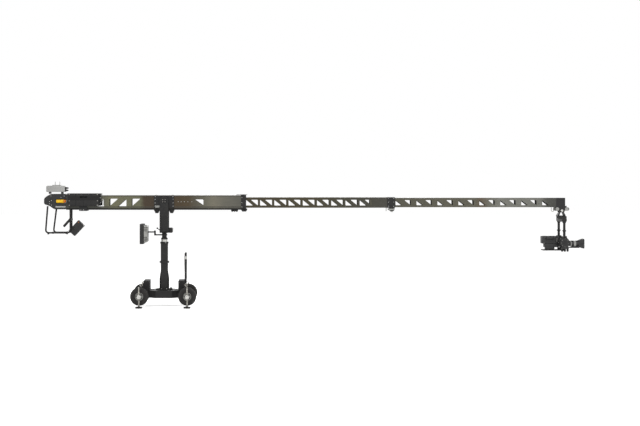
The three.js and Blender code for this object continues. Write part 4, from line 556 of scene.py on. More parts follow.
# %% Column turned parts
def cap_screw(centre, axis, radius, height):
    """A socket cap screw head: a turned drum with a small chamfer and a round socket."""
    return turned([(0, radius * 0.9), (0, radius), (height * 0.85, radius), (height, radius * 0.86),
                   (height, radius * 0.5), (height * 0.4, radius * 0.46), (height * 0.4, 0)],
                  centre, axis, 12)


def side_screws(side, depth, places, radius=6, height=4):
    """Cap screws whose heads point sideways at each (x, z), at a depth from the middle."""
    return [cap_screw((x, depth * side, z), (0, side, 0), radius, height) for x, z in places]


make_piece("clamp_collar", [turned([
    (906, 34), (906, 68), (908, 70), (918, 70), (919.5, 68.5), (924.5, 68.5), (926, 70), (936, 70),
    (938, 68), (938, 34)], steps=64)], black_paint, "chassis", ["pedestal_collar"],
    loop=True)
make_piece("collar_clamp_screws", [
    cap_screw((70 * x, 70 * y, 922), (x, y, 0), 6.5, 5) for x, y in ring_of(4, 1, math.radians(20))
], bright_steel, "chassis")
make_piece("bright_bearing_ring", [turned([
    (938, 34), (938, 52), (939.5, 54.5), (955, 54.5), (956, 53.2), (961, 53.2), (962, 54.5),
    (977.5, 54.5), (979, 52), (979, 34)], steps=64)], bright_steel, "chassis",
    ["bearing_ring"], loop=True)
make_piece("swivel_cap_and_post", [turned([
    (847, 0), (847, 32), (849, 33), (979.3, 33), (979.3, 55), (981, 57), (996, 57), (999, 55.5),
    (1014, 42), (1019, 40), (1092, 40), (1092, 0)], steps=64)], black_paint, "swivel",
    ["swivel_post"])
make_piece("flange_screws", [
    cap_screw((x, y, 143), Z, 8, 8) for x, y in ring_of(8, 118, math.pi / 8)],
    bright_steel, "chassis")
make_piece("chassis_edge_screws", [
    cap_screw((x, y, 125), Z, 5, 4) for x in (-205, 205) for y in (-150, -90, 90, 150)
], bright_steel, "chassis")

# %% [markdown]
# ## Steering pole and brake
# The pole that pulls and steers the dolly is a black tube with a cast knuckle and a T-handle in
# rubber sleeves. Each is a turned or swept grid, with round ends where hands go. The swivel brake
# is a blackened lever with a ball at its end.

# %% Steering pole and brake lever
pole_low, pole_high = box_mm("steering_pole")
pole_x, foot_z, handle_z = (pole_low[0] + pole_high[0]) / 2, pole_low[2], pole_high[2] - 15
make_piece("pole_tube", [
    turned([(foot_z, 12), (foot_z + 3, 18), (foot_z + 10, 19.5), (300, 19.5), (304, 22.5),
            (640, 22.5), (642, 20), (handle_z, 20), (handle_z, 0)], (pole_x, 0, 0), steps=36),
    turned(mirrored([(18, 19.5), (19.5, 17), (19.5, 8.4)]), (pole_x, 0, 109), Y, 32)],
    black_anodised, "steering_pole", ["steering_pole"])
# The knuckle ring is bare cast aluminium, and its light tone also paints a glint on it.
make_piece("pole_knuckle", [
    turned([(640, 19.5), (643, 24), (647, 25), (688, 25), (692, 24), (695, 19.5)], (pole_x, 0, 0),
           steps=36),
    cap_screw((pole_x, -24, 668), (0, -1, 0), 8, 5)], cast_rim, "steering_pole")
near_ribs, far_ribs = ([(y, 15 if i % 2 else 13.4) for i, y in enumerate(np.arange(low, high, 5))]
                       for low, high in ((-108, -28), (32, 110)))
make_piece("pole_grips", [turned([
    (-115, 0), (-115, 11), (-112, 15), *near_ribs, (-26, 15), (-24, 12), (24, 12), (26, 15),
    *far_ribs, (112, 15), (115, 11), (115, 0)], (pole_x, 0, handle_z), Y, 28)],
    grip_rubber, "steering_pole")
ball_angles = np.linspace(-np.pi / 2, np.pi / 2, 13)
make_piece("brake_lever_and_ball", [
    turned([(-162, 0), (-162, 14), (-160, 16), (-144, 16), (-142.3, 14), (-142.3, 0)],
           (-50, 0, 1127), Y, 32),
    swept([(-50, -153, 1127), (-78, -154, 1147), (-104, -156, 1167)], [9, 8, 6.5]),
    turned([(14 * math.sin(t), 14 * math.cos(t)) for t in ball_angles],
           (-112, -157.5, 1173), (-0.8, 0, 0.6), 24)], black_steel, "brake_lever", ["brake_lever"])

# %% [markdown]
# ## Fork, junction box and column monitor
# The fork's arms are painted plate. A bolted cover closes each trunnion, and five screws fix each
# arm to the foot. The junction box has round connector sockets. The screen on its two-link arm
# faces the operator, so its glass is on the tail side; its links turn on knurled knobs.

# %% Fork covers, junction sockets and monitor
tilt_axis, fork_face = (0, 0, 1637), 141.8
for name, side in sides:
    make_piece(f"trunnion_cover_{name}", [outward(side, [
        (0, 0), (0, 40), (3, 41), (5, 39.5), (5, 15), (3.5, 13), (3.5, 0)],
        tilt_axis, 48, fork_face)], black_steel, "swivel")
    make_piece(f"trunnion_screws_{name}", side_screws(
        side, fork_face + 4.6, ((-21, 1656), (20, 1656), (-21, 1618), (20, 1618))),
        oiled_steel, "swivel")
    make_piece(f"fork_foot_screws_{name}", side_screws(
        side, fork_face - 0.4, ((-45, 1135), (0, 1135), (45, 1135), (-45, 1185), (45, 1185)), 8, 6),
        black_steel, "swivel")
make_piece("junction_sockets", [
    turned([(142, 0), (142, 13), (150, 13), (151, 12), (151, 9.5), (145, 9), (145, 0)],
           (0, y, z), X, 28)
    for y in (-32, 0, 32) for z in (1155, 1116)], bright_steel, "swivel")
make_piece("junction_lid", [soft_block((108.5, -56, 1134), (54, 2.4, 74), 5, 0.8, Y)],
           abs_black, "swivel")

# %% Column monitor
monitor_low, monitor_high = box_mm("monitor_housing")
front_x, back_x, mid_z = monitor_low[0], monitor_high[0], (monitor_low[2] + monitor_high[2]) / 2
for name, finish, stands_for, blocks in (
    ("glass", screen_glass, (), [((front_x + 4.2, 0, mid_z), (1.6, 368, 301), 3, 0.4)]),
    ("bezel", abs_black, (),
     [((front_x + 30, y, mid_z), (61, 5, 336), 3, 1.2) for y in (-198, 198)]
     + [((front_x + 30, 0, z), (61, 399, 5), 3, 1.2)
        for z in (monitor_low[2] + 1.5, monitor_high[2] - 1.5)]),
    ("front_slab", abs_black, ["monitor_housing"],
     [((front_x + 36, 0, mid_z), (58, 398, 333), 8, 3)]),
    ("back_shell", grey_abs, (), [((back_x - 32, 0, mid_z), (63, 384, 300), 26, 12, X, 7, 0.9)]),
    ("vents", abs_black, (), [((back_x - 34, 0, mid_z + dz), (52, 386, 5), 2, 1)
                              for dz in (-112, -84, -56, 56, 84, 112)]
     + [((back_x - 1, 0, mid_z), (6, 110, 110), 8, 2)]),
):
    make_piece(f"column_screen_{name}", [
        soft_block(*block[:4], *(block[4:] or [X])) for block in blocks],
        finish, "monitor_housing", stands_for)


def knob(centre, axis, radius, length):
    """A knurled knob: a turned drum whose radius has 24 small ridges, with a domed end."""
    return turned([(0, 0), (0, radius * 0.8), (length * 0.1, radius), (length * 0.8, radius),
                   (length, radius * 0.75), (length, 0)], centre, axis, 72,
                  lambda angle: 1 + 0.05 * np.sign(np.sin(24 * angle)))


make_piece("monitor_clamp_knob", [knob((0, -50, 1055.6), (0, -1, 0), 14, 22)], grip_rubber,
           "monitor_arm_lower")
make_piece("monitor_arm_knob", [knob((-160, 0, 1115), Z, 14, 14)], grip_rubber,
           "monitor_arm_upper")

# %% [markdown]
# ## Lifting eyes, ballast and the column's flange
# Four forged eyes lift the dolly. An eye could be a bent tube, but a torus closes on itself without
# a seam: a small circle is carried round a big one. The ballast is cast iron with soft edges, so it
# is a rounded block, and the column's flange and ring are turned.

# %% Chassis and ballast dressing
def torus_grid(centre, ring_radius, wire_radius, steps=28, around=14):
    """A ring in the XZ plane: point = centre + (R + r cos b) * spoke(a) + r sin b * Y."""
    a, b = round_angles(steps)[:, None], round_angles(around)[None]
    reach = ring_radius + wire_radius * np.cos(b)
    return np.array(centre, float) + np.stack([
        reach * np.cos(a), wire_radius * np.sin(b) + 0 * a, reach * np.sin(a)], axis=-1)


make_piece("round_lifting_eyes", [
    torus_grid((x, y, 221), 20, 6.3) for x in (-378, 378) for y in (-250, 250)],
    oiled_steel, "chassis", loop=True)
for end, way in (("rear", -1), ("front", 1)):
    make_piece(f"cast_ballast_box_{end}", [soft_block((293 * way, 0, 206), (102, 410, 162), 5, 3)],
               iron_paint, "chassis", [f"ballast_box_{end}"])
make_piece("pedestal_flange_and_ring", [
    turned([(124.6, 60), (124.6, 142), (127, 144), (140, 144), (143.4, 141), (143.4, 60)],
           steps=72),
    turned([(580, 50), (580, 80), (583, 83), (607, 83), (610.5, 80), (610.5, 50)], steps=64)],
    black_paint, "chassis", loop=True)

# %% [markdown]
# ## Boom: flanges, screws and trunnion plate
# The outer tube is a folded box with a raised flange along each lower edge, a row of cap screws
# behind the trunnion, and a pale latch bar by its first window. The trunnion plate has clamps on
# its top edge and a bare strip low down. A strip is a rounded block a few millimetres thick that
# lies on the tube's face, so it catches light along its edge.

# %% Outer tube dressing
boom_face, saddle_face, collar_x, latch_x = 100, 108, 1316, -1033
for name, side in sides:
    make_piece(f"outer_tube_flange_{name}", [
        soft_block((middle, 101 * side, z), (length, 2.6, height), 1.2, 0.8, Y)
        for middle, length in ((-591, 838), (736, 1128)) for z, height in ((1529, 15), (1718, 12))
    ], flange_anodised, "boom")
    make_piece(f"outer_tube_screws_{name}", side_screws(
        side, boom_face, ((x, 1618) for x in (238, 289, 343, 401, 469))) + side_screws(
        side, 110, ((collar_x, z) for z in (1531, 1604, 1690))), bright_steel, "boom")
    make_piece(f"latch_bar_{name}", side_screws(
        side, boom_face + 1.4, ((latch_x, 1655), (latch_x, 1563)), 5, 1.4) + [
        soft_block((latch_x, 100.8 * side, 1609), (18, 2.8, 112), 1.2, 0.8, Y)], cast_rim, "boom")
    make_piece(f"saddle_plate_screws_{name}", side_screws(
        side, saddle_face, ((x, z) for x in (-152, 152) for z in (1545, 1600, 1660, 1705))),
        bright_steel, "boom")
    make_piece(f"saddle_bare_strip_{name}", [
        soft_block((-106, 109 * side, 1538), (86, 3, 36), 4, 1, Y)], dull_rim, "boom")
make_piece("saddle_top_clamps", [
    soft_block((x, y, 1730), (26, 34, 12), 4, 2) for x in (-136, 136) for y in (-80, 80)
], cast_rim, "boom")
make_piece("trunnion_ends", [outward(side, [
    (0, 0), (0, 17), (4, 17), (5.5, 15), (5.5, 7), (3, 6), (3, 0)], tilt_axis, 32, 145)
    for _, side in sides], black_steel, "boom")
make_piece("front_collar_plate", [
    soft_block((collar_x, 0, 1739), (182, 214, 7), 6, 1.5)], black_paint, "boom")
roller_low, roller_high = box_mm("guide_roller")
roller_mid = (roller_low + roller_high) / 2
roller_end = (roller_high[1] - roller_low[1]) / 2
half_roller = [(26, 24), (28, 21.5), (32, 21.5), (34, 24), (roller_end - 9, 24),
               (roller_end - 6, 22), (roller_end - 4, 14), (roller_end, 14), (roller_end, 0)]
make_piece("grooved_guide_roller", [
    turned(mirrored(half_roller), (roller_mid[0], 0, roller_mid[2]), Y)],
    grip_rubber, "guide_roller", ["guide_roller"])
make_piece("rail_end_stop", [
    turned(mirrored([(54, 20), (56, 18), (56, 0)]), (x, 0, 1467), Y, 28)
    for x in (1154, 1192, 1230)
] + [soft_block((1192, 0, 1479), (118, 108, 10), 3, 1.5)], black_paint, "boom")

# %% [markdown]
# ## Counterweights and their carriage
# The counterweights are stacks of cast slabs in a painted case that runs along the outer tube. The
# case shows as four plates with thin gaps between them, tie rods through all of them, and a bright
# end bracket. The shoe below the tube has two grease points.

# %% Counterweight dressing
for name, side in sides:
    low, high = box_mm(f"counterweight_{name}")
    face = high[1] if side > 0 else -low[1]
    pitch = (high[0] - low[0] - 12) / 4
    plate_places = [low[0] + 6 + pitch * (i + 0.5) for i in range(4)]
    make_piece(f"counterweight_plates_{name}", [
        soft_block((x, (face + 1.2) * side, z), (pitch - 5, 3.2, height), 3, 1, Y)
        for x in plate_places for z, height in ((1598, 92), (1733, 42))],
        black_paint, "counterweights")
    make_piece(f"counterweight_tie_bolts_{name}", [outward(side, [
        (2.6, 0), (2.6, 8), (6.4, 8), (7, 7), (7, 0)], (low[0] + x, 0, z), 6, face)
        for x in (24, 498) for z in (1562, 1636, 1744)], oiled_steel, "counterweights")
    make_piece(f"carriage_bracket_screws_{name}", side_screws(
        side, 114, ((-1080, 1600), (-1080, 1684)), 7) + side_screws(
        side, 114, ((-1410, 1478), (-1360, 1478)), 6, 3), bright_steel, "counterweights")

# %% [markdown]
# ## Tail housing, drive motor and radio box
# The tail housing hides the cable drum. Its sides are screwed panels with a silver trunking below
# the yellow drive motor. The motor is a turned housing with an orange end cap and a pale hose. The
# radio box is folded aluminium: its round edges and ribs are parts of the same rounded blocks, and
# two stub aerials stand on it.

# %% Tail housing panels and motor
tail_face = 108
for name, side in sides:
    make_piece(f"tail_side_panel_{name}", [
        soft_block((-1800, (tail_face + 1.2) * side, 1700), (250, 3, 62), 8, 1, Y),
        soft_block((-1925, (tail_face + 1.2) * side, 1602), (66, 3, 96), 8, 1, Y)],
        abs_black, "boom")
    make_piece(f"tail_panel_screws_{name}", side_screws(side, tail_face + 2.6, (
        (-1739, 1689), (-1912, 1718), (-1690, 1718), (-1936, 1623), (-1936, 1582),
        (-1905, 1640), (-1905, 1562)), 5, 2.5), bright_steel, "boom")
    make_piece(f"silver_trunking_{name}", [
        soft_block((-1750, 110 * side, 1533), (170, 7, 24), 3, 1.5, Y)], silver_anodised, "boom")
motor_low, motor_high = box_mm("drive_motor")
motor_y, motor_z = (motor_low[1] + motor_high[1]) / 2 - 5, (motor_low[2] + motor_high[2]) / 2
make_piece("yellow_drive_motor", [turned([
    (-1824, 0), (-1824, 26), (-1820, 31), (-1760, 31), (-1758, 28.5), (-1754, 28.5), (-1752, 31),
    (-1722, 31), (-1720, 33.5), (-1710, 33.5), (-1709, 31), (-1700, 30), (-1700, 0)],
    (0, motor_y, motor_z), X, 40)], yellow_enamel, "boom", ["drive_motor"])
make_piece("orange_motor_cap", [turned([
    (-1701, 0), (-1701, 27), (-1698, 28), (-1668, 28), (-1662, 24), (-1660, 18), (-1660, 0)],
    (0, motor_y, motor_z), X, 36)], orange_cap, "boom")
hose = smooth_path([
    (-1662, motor_y - 2, motor_z + 6), (-1648, motor_y - 10, motor_z + 22),
    (-1648, motor_y - 22, motor_z - 20), (-1682, motor_y - 26, motor_z - 34)], radius=16)
make_piece("pale_motor_hose", [swept(hose, 4.5, 12)], grey_abs, "boom")

# %% Radio box and aerials
make_piece("folded_radio_box", [
    soft_block((-1838, 0, 1835), (314, 188, 104), 16, 4, Y),
    soft_block((-1827, 0, 1892), (140, 130, 22), 8, 3),
] + [soft_block((-1838, 93.5 * side, z), (292, 3.4, 8), 3, 1, Y)
     for _, side in sides for z in range(1800, 1873, 18)
] + [soft_block((-1838, y, 1887.5), (280, 8, 4), 3, 1) for y in (-84, -74, 74, 84)],
    silver_anodised, "boom", ["radio_box"])
make_piece("radio_box_feet_and_plugs", [
    soft_block((x, 0, 1768), (26, 150, 32), 4, 2) for x in (-1942, -1734)
] + [turned([(-1682, 0), (-1682, 17), (-1668, 17), (-1666, 14), (-1650, 14), (-1648, 11),
             (-1637, 10), (-1636, 8), (-1636, 0)], (0, y, z), X, 28)
     for y, z in ((-60, 1850), (-20, 1850), (20, 1850), (60, 1850), (-40, 1810), (40, 1810))],
    abs_black, "boom")
make_piece("stub_aerials", [turned([
    (1900, 0), (1900, 9), (1906, 9), (1908, 6), (1914, 5), (1950, 4), (1956, 4.6), (1958.5, 3),
    (1958.5, 0)], (x, 0, 0), steps=24) for x in (-1855, -1778)],
    grey_abs, "boom")

# %% [markdown]
# ## Operator's frame, grip and monitor
# The operator stands at the tail and steers the crane by a bent tube frame. The tube is 29 mm
# across and its bends follow one curve through the corner points. A ribbed rubber grip sits on the
# hub at the near side. The monitor is tipped 47 degrees up towards the operator, inside a hood.

# %% Tube frame
tube, low_z, front_post_x = 14.5, 1093, -1587


def loop_path(y, rear_x, lean, top):
    """One side of the frame: down from the tail, along the bottom and up to the boom."""
    return smooth_path([(rear_x + lean, y, top), (rear_x, y, low_z), (front_post_x, y, low_z),
                        (front_post_x, y, 1514)], 8, 62)


clamp = mirrored([(12, 19), (13, tube)])
frame_paths = [loop_path(-92, -2006, 36, 1545), loop_path(92, -1899, 50, 1488)] + [
    [(x, y, low_z) for y in (-100, 0, 100)] for x in (-1880, -1660)]
make_piece("bent_tube_frame", [swept(path, tube, 24) for path in frame_paths] + [
    turned([(-132, 0), (-132, 24), (-130, 26), (-94, 26), (-92, 24), (-92, 0)],
           (front_post_x, 0, 1316), Y)], black_paint, "boom", ["operator_frame"])
make_piece("frame_tube_clamps", [
    turned(clamp, (front_post_x, 92 * side, z), steps=28) for _, side in sides for z in (1316, 1490)
] + [turned(clamp, (x, 92 * side, low_z), X, 28) for _, side in sides for x in (-1880, -1660)],
    black_steel, "boom")
make_piece("frame_clamp_knobs", [
    knob((x, -110, low_z), (0, -1, 0), 16, 16) for x in (-1880, -1660)
] + [knob((-1960, -92, 1080), (0, 0, -1), 17, 14), knob((-1640, -92, 1080), (0, 0, -1), 15, 12)],
    grip_rubber, "boom")
make_piece("console_arms", [
    grid for _, side in sides for grid in (
        soft_block((-1563, 78.5 * side, 1166), (62, 6, 29), 6, 1.5, Y),
        knob((-1540, 82 * side, 1166), (0, side, 0), 15, 14))],
    black_steel, "boom")


# %% Grip and console monitor
def tipped(grid, centre, degrees):
    """Turns a grid about Y through a centre; a positive angle lifts the +X side."""
    turn, centre = math.radians(degrees), np.array(centre, float)
    x, y, z = np.moveaxis(grid - centre, -1, 0)
    return centre + np.stack([x * math.cos(turn) - z * math.sin(turn), y,
                              x * math.sin(turn) + z * math.cos(turn)], axis=-1)


hub = (-1587, -152, 1316)
ribs = [(-28 - 7.5 * i, 19.5 if i % 2 else 23) for i in range(16)]
make_piece("ribbed_control_grip", [
    tipped(turned([(-156, 0), (-156, 15), (-153, 20), *ribs[::-1], (-20, 18), (-4, 17), (-4, 0)],
                  hub, X, 32), hub, 48),
    turned([(-171.5, 0), (-171.5, 17), (-169, 19.5), (-135, 19.5), (-133, 17), (-133, 0)],
           (hub[0], 0, hub[2]), Y, 32)], grip_rubber, "control_grip", ["control_grip"])
console_mid = np.array((-1489.0, 0.0, 1170.0))


def console_block(x, y, z, size, corner=5, edge=1.5, axis=Z):
    """A rounded block placed in the console's own level frame, then tipped with it."""
    return tipped(soft_block(console_mid + (x, y, z), size, corner, edge, axis), console_mid, 47)


make_piece("console_case", [
    console_block(0, 0, -46, (241, 150, 46), 8, 4),
] + [console_block(118 * way, 0, 23, (5, 150, 92), 2, 1) for way in (-1, 1)
] + [console_block(0, 72.5 * way, 23, (241, 5, 92), 2, 1) for way in (-1, 1)
] + [console_block(-70 + 20 * i, 0, -69.5, (8, 110, 3), 3, 1) for i in range(8)],
    abs_black, "console_monitor", ["console_monitor"])
make_piece("console_screen", [console_block(0, 0, -21, (218, 128, 3), 4, 1)], screen_glass,
           "console_monitor")
make_piece("console_grey_back", [
    console_block(86, 0, -70, (58, 130, 5), 5, 2),
    console_block(119.5, 0, -46, (5, 120, 34), 3, 1.5)],
    grey_abs, "console_monitor")
make_piece("console_amber_lamp", [
    tipped(turned(profile, console_mid + place, axis, 20), console_mid, 47)
    for profile, place, axis in (
        ([(0, 0), (0, 7), (5, 7), (7, 5), (8, 0)], (98, -60, -20), Z),
        ([(0, 0), (0, 6), (4, 6), (6, 4), (6.5, 0)], (100, -75, 40), (0, -1, 0)))],
    orange_cap, "console_monitor")

# %% [markdown]
# ## Middle and inner sections
# Where one tube slides in the next, the collar carries wear pads and rollers. Each section also
# has small screws beside its windows and a bolted end plate. The nose hangs from round buffers in
# pale nylon, and a shackle behind them holds the head's safety wire.

# %% Section dressing and nose
collar_low, collar_high = box_mm("middle_collar")
for name, side in sides:
    face = (collar_high if side > 0 else -collar_low)[1]
    make_piece(f"middle_collar_screws_{name}", side_screws(
        side, face, ((x, z) for x in (collar_low[0] + 22, collar_high[0] - 22)
                     for z in (1540, 1610, 1675)), 5, 3), bright_steel, "middle_section")
    make_piece(f"middle_wear_pad_{name}", [
        soft_block((collar_high[0] - 60, (face + 1.5) * side, 1488), (84, 4, 26), 6, 1.2, Y)],
        grey_abs, "middle_section")
    make_piece(f"nose_plate_screws_{name}", side_screws(
        side, 66, ((x, z) for x in (6650, 6700, 6755) for z in (1560, 1650)), 5, 3),
        black_steel, "inner_section")
make_piece("collar_tip_roller", [
    turned(mirrored([(58, 11), (60, 9), (60, 0)]), (collar_high[0] - 46, 0, 1450), Y, 28)],
    bright_steel, "middle_section")
make_piece("section_stop_tab", [
    soft_block((3771, y, 1492), (7, 8, 66), 3, 1.2, Y) for y in (-40, 40)],
    cast_rim, "middle_section")
level_x, level_z = 6742.0, 1468.0
buffer = mirrored([(9, 31.5), (11, 29), (11, 0)])
make_piece("nylon_nose_buffers", [
    turned(buffer, (level_x + dx, y, 1494), Y, 36) for dx in (-80, 80) for y in (-56, 56)],
    grey_abs, "inner_section")
make_piece("safety_shackle", [swept(smooth_path([
    (6576, 0, 1520), (6576, 0, 1452), (6614, 0, 1452), (6614, 0, 1520)], 8, 22), 5.5, 14)],
    oiled_steel, "inner_section")
make_piece("level_pin_caps", [outward(side, [
    (0, 0), (0, 19), (5, 19), (6.5, 17), (6.5, 8), (4, 7), (4, 0)], (level_x, 0, level_z), 32, 61)
    for _, side in sides], bright_steel, "level_bracket")

# %% [markdown]
# ## Remote head
# The head hangs from a pan unit: a turned drum with a knurled clamp ring. Its frame is a cross bar
# with one round leg on each side, which ends in a round cheek that carries the tilt axis. Each leg
# has a clamp half way down. The tilt motor is a disc on the near cheek, with a ring of screws round
# a dark hub and three knobs below it.

# %% Pan unit, head frame and tilt motor
head_x, tilt_z, leg_y = 6750.0, 926.0, 164.0
head_mid, head_axis = (head_x, 0, 0), (head_x, 0, tilt_z)
make_piece("pan_unit_drum", [turned([
    (1336, 0), (1336, 80), (1340, 86), (1350, 86), (1352, 83), (1356, 83), (1358, 86), (1366, 86),
    (1370, 82), (1370, 0)], head_mid, steps=72,
    swell=lambda angle: 1 + 0.006 * np.sign(np.sin(36 * angle)))], abs_black, "pan_unit")
make_piece("head_cross_bar", [
    soft_block((head_x, 0, 1310.5), (80, 380, 50), 16, 4),
    soft_block((head_x, 0, 1283), (44, 290, 10), 6, 3),
] + [soft_block((head_x, leg_y * side, 1341), (66, 44, 13), 6, 3) for _, side in sides],
    black_paint, "pan_unit", ["head_frame"])
for name, side in sides:
    y = leg_y * side
    make_piece(f"head_leg_{name}", [turned(profile, (head_x, y, 0), steps=36) for profile in (
        [(1024, 0), (1024, 25), (1036, 26), (1040, 21), (1290, 21), (1290, 0)],
        [(1118, 19), (1118, 29), (1121, 31), (1137, 31), (1140, 29), (1140, 19)],
        [(1262, 19), (1262, 27), (1266, 30), (1288, 30)])], black_paint, "pan_unit")
    make_piece(f"head_cheek_{name}", [
        turned(mirrored([(10, 92), (13, 89), (13, 0)]), (head_x, y, tilt_z), Y, 72),
        soft_block((head_x, y, 985), (88, 25.6, 112), 5, 3, Y)], black_paint, "pan_unit")
    make_piece(f"head_leg_clamp_screws_{name}", [
        cap_screw((head_x + 30 * way, y, 1129), (way, 0, 0), 5, 5) for way in (-1, 1)
    ] + side_screws(side, leg_y + 13, ((head_x - 30, 1030), (head_x + 30, 1030)), 5),
        bright_steel, "pan_unit")
motor_face = leg_y + 13.3
make_piece("tilt_motor_disc", [
    outward(-1, [(0, 0), (0, 76), (3, 78), (37, 78), (42, 74), (44, 68), (44, 62), (42, 60),
                 (42, 24), (54, 22), (55.5, 20), (55.5, 8), (53, 7), (53, 0)],
            head_axis, 64, motor_face),
    soft_block((head_x, -motor_face - 22, tilt_z - 84), (124, 44, 34), 5, 2, Y),
], abs_black, "pan_unit", ["tilt_motor"])
make_piece("tilt_motor_screws", side_screws(
    -1, motor_face + 42, ((head_x + dx, tilt_z + dz) for dx, dz in ring_of(8, 67)), 4.5, 3),
    oiled_steel, "pan_unit")
make_piece("tilt_motor_knobs", [
    knob((head_x + dx, -motor_face - 22, tilt_z - 98), (0, 0, -1), 17, 48) for dx in (-46, 0, 46)],
    grip_rubber, "pan_unit")
make_piece("far_tilt_cap", [outward(1, [
    (0, 0), (0, 40), (4.7, 42), (11.7, 40), (13.7, 30), (13.7, 0)], head_axis, 48, motor_face)],
    black_steel, "pan_unit")

# %% [markdown]
# ## Camera, lens and matte box
# The camera is a boxy film camera. Its shell is a rounded block with a hinged side door, two low
# magazine humps on its top, an eyepiece on the near side and a row of buttons. The lens is a chain
# of turned rings, three of them knurled, with a focus motor below. A dark coated glass closes it.

# %% Camera body
camera_low, camera_high = box_mm("camera_body")
rear_x, front_x = camera_low[0], camera_high[0]
make_piece("camera_shell", [
    soft_block(((rear_x + front_x) / 2, 0, 972), (front_x - rear_x, 132, 126), 18, 5, X),
    soft_block((6567, 0, 880), (240, 92, 66), 12, 4),
    soft_block((6546, 0, 828), (148, 92, 40), 8, 3),
    soft_block((6470, 0, 1030), (84, 96, 14), 7, 4),
    soft_block((6580, 0, 1030), (100, 96, 14), 7, 4),
    soft_block((6418, 0, 945), (30, 88, 60), 10, 4, X),
], camera_black, "camera", ["camera_body"])
for name, side in sides:
    make_piece(f"camera_door_{name}", [
        soft_block((6538, 67 * side, 974), (150, 4, 88), 10, 1.4, Y),
        soft_block((6652, 67 * side, 974), (48, 3.4, 96), 6, 1.2, Y),
        outward(side, [(72, 0), (72, 15), (68, 17), (66, 17)], (6600, 0, 974), 32),
    ], abs_black, "camera")
    make_piece(f"camera_screws_{name}", side_screws(
        side, 66, ((x, z) for x in (6436, 6676) for z in (926, 1020)), 3.5, 3) + [
        outward(side, [(68, 0), (68, 5), (71, 5), (71, 0)], (6652, 0, z), 16)
        for z in range(944, 993, 16)], oiled_steel, "camera")
make_piece("eyepiece_tube", [
    swept(smooth_path([(6600, -66, 1000), (6600, -92, 1004), (6560, -104, 1006),
                       (6500, -104, 1006)], 6, 20), 13, 24),
    turned([(6500, 0), (6500, 17), (6478, 21), (6470, 21), (6470, 12), (6480, 0)],
           (0, -104, 1006), X, 32)], camera_black, "camera")

# %% Lens, glass and matte box
lens_low, lens_high = box_mm("lens")
rear, barrel, front = lens_low[0], lens_low[0] + 199, lens_high[0]
lens_axis = (0, 0, lens_high[2] - 50)
lens_z = lens_axis[2]


def knurl(angle):
    """A knurled ring's radius factor: 36 ridges of one percent."""
    return 1 + 0.012 * np.sign(np.sin(36 * angle))


make_piece("lens_barrel", [
    turned([(rear, 0), (rear, 34), (rear + 16, 36), (rear + 22, 33), (rear + 70, 33),
            (rear + 74, 36), (barrel - 18, 36), (barrel, 48), (barrel + 4, 50), (front - 8, 50),
            (front, 48), (front, 42), (front - 26, 34), (front - 26, 0)], lens_axis, X, 72),
    soft_block((front - 92, 0, lens_z - 46), (104, 50, 56), 14, 4, X),
], camera_black, "camera", ["lens"])
make_piece("lens_rings", [
    turned([(x, r - 3), (x, r), (x + w, r), (x + w, r - 3)], lens_axis, X, 72, knurl)
    for x, w, r in ((rear + 88, 22, 38.5), (rear + 122, 30, 38.5), (barrel + 22, 34, 51.5),
                    (barrel + 96, 40, 51.5))], black_steel, "camera")
make_piece("lens_grey_sleeve", [
    turned([(x, 47), (x, r), (x + w, r), (x + w, 47)], lens_axis, X, 56)
    for x, w, r in ((barrel + 58, 36, 51), (barrel + 4, 16, 50.8))],
    grey_abs, "camera")
make_piece("lens_front_glass", [turned([(front - 24, 0)] + [
    (front - 24 + bulge, radius) for radius, bulge in [(33, 0)] + [
        (33 * math.sin(t), 10 * math.cos(t)) for t in np.linspace(math.pi / 2, 0, 8)[1:]]],
    lens_axis, X, 48)], lens_glass, "camera")
matte_x = box_mm("matte_box")[0][0]
make_piece("matte_box_rods_and_rim", [
    turned([(rear + 20, 0), (rear + 20, 7), (matte_x + 10, 7), (matte_x + 10, 0)],
           (0, y, lens_z - 66), X, 20) for y in (-34, 34)
] + [soft_block((matte_x + 5, 0, lens_z - 56), (14, 92, 26), 5, 2, X),
     soft_block((rear + 30, 0, lens_z - 56), (22, 92, 26), 5, 2, X)], black_steel, "camera")
for name, side in sides:
    make_piece(f"matte_box_flag_knob_{name}", [
        knob((matte_x + 46, 66 * side, lens_z), (0, side, 0), 9, 10)], grip_rubber, "camera")
make_piece("cradle_plate_knobs", [
    knob((x, -76, 800), (0, -1, 0), 10, 12) for x in (6470, 6620)
] + [cap_screw((x, y, 808), Z, 5, 3) for x in (6440, 6700) for y in (-55, 55)],
    grip_rubber, "camera")

# %% [markdown]
# ## Floor, light and camera
# A pale floor carries the soft shadow. Rays from the camera see it a little brighter than it is
# lit, so it meets the white background without a line, and the shadow stays. The sky is a weak
# even light, but seen directly, in metal or through glass it is pure white. A large lamp on each
# side gives plain studio light.
# The camera looks level from twenty metres. A sideways and an upward shift put the crane where the
# photograph has it. The shift is smaller than the photograph's own perspective would need, so
# that the crane stays whole in the frame from every side.

# %% Floor and sky
def seen_directly(tree):
    """One for rays from the camera, in a reflection or through glass, and zero for lighting."""
    path = add_node(tree, "ShaderNodeLightPath").outputs
    either = add_node(tree, "ShaderNodeMath", (path["Is Camera Ray"], path["Is Transmission Ray"]),
                      operation="MAXIMUM")
    return add_node(tree, "ShaderNodeMath", (either, path["Is Glossy Ray"]), operation="MAXIMUM")


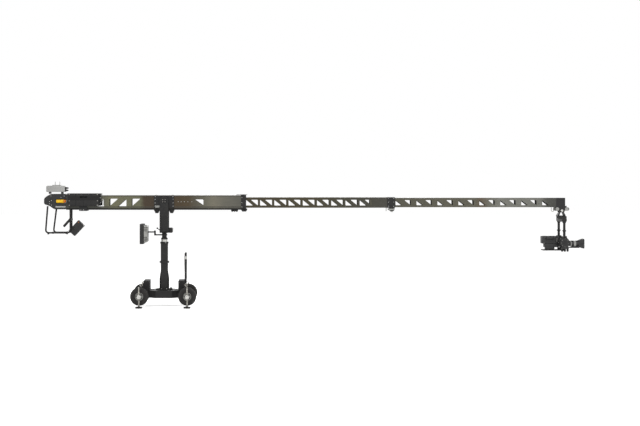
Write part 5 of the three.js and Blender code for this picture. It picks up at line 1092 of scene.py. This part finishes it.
floor_z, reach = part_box("jack_foot_rear_near")[0][2], 60.0
floor_mesh = bpy.data.meshes.new("studio_floor")
floor_corners = [(-reach, -reach), (reach, -reach), (reach, reach), (-reach, reach)]
floor_mesh.from_pydata([(x, y, floor_z) for x, y in floor_corners], [], [(0, 1, 2, 3)])
floor = bpy.data.objects.new("studio_floor", floor_mesh)
bpy.context.scene.collection.objects.link(floor)
floor_finish, floor_tree, floor_shader, _ = new_finish(
    "matte_white_floor", Base_Color=linear("#f4f4f3"), Roughness=0.9, Emission_Color=(1, 1, 1, 1))
wire(floor_tree, floor_shader, {"Emission Strength": add_node(
    floor_tree, "ShaderNodeMath", (seen_directly(floor_tree), 0.56), operation="MULTIPLY")})
floor_mesh.materials.append(floor_finish)

sky = bpy.data.worlds.new("even_sky")
bpy.context.scene.world = sky
sky.use_nodes = True
sky_tree = sky.node_tree
sky_light = sky_tree.nodes["Background"]
wire(sky_tree, sky_light, {"Color": linear("#f4f4f4"), "Strength": 0.55})
sky_white = add_node(sky_tree, "ShaderNodeBackground", {"Color": (1, 1, 1, 1), "Strength": 1.0})
sky_mix = add_node(sky_tree, "ShaderNodeMixShader", (seen_directly(sky_tree), sky_light, sky_white))
wire(sky_tree, sky_tree.nodes["World Output"], {"Surface": sky_mix})
print("floor at", round(floor_z, 4), "m; sky strength", sky_light.inputs["Strength"].default_value)

# %% Lamps
for name, place, aim, size, power in (
    ("lamp_front_left", (-3.0, -7.0, 6.5), (1.5, 0.0, 1.2), 5.0, 490.0),
    ("lamp_front_right", (8.0, -7.0, 5.0), (4.0, 0.0, 1.2), 5.0, 395.0),
    ("lamp_above", (2.5, 1.0, 8.0), (2.5, 0.0, 1.5), 6.0, 395.0),
    ("lamp_back", (3.0, 8.0, 5.0), (2.5, 0.0, 1.2), 6.0, 360.0),
):
    lamp = bpy.data.lights.new(name, "AREA")
    lamp.size, lamp.energy = size, power
    holder = bpy.data.objects.new(name, lamp)
    holder.location = place
    holder.rotation_euler = (Vector(aim) - Vector(place)).to_track_quat("-Z", "Y").to_euler()
    bpy.context.scene.collection.objects.link(holder)

# %% Camera
photo_width = 640
optics = bpy.data.cameras.new("studio_camera")
optics.sensor_width, optics.lens, optics.clip_end = 36.0, 66.18, 200.0
optics.shift_x, optics.shift_y = 94 / photo_width, -27.9 / photo_width
camera = bpy.data.objects.new("studio_camera", optics)
camera.location = (1.047, -20.0, 1.9)
camera.rotation_euler = (math.pi / 2, 0.0, 0.0)
bpy.context.scene.collection.objects.link(camera)
bpy.context.scene.camera = camera
bpy.context.scene.view_settings.view_transform = "Standard"
print("camera at", tuple(round(v, 3) for v in camera.location), "lens", round(optics.lens, 2))
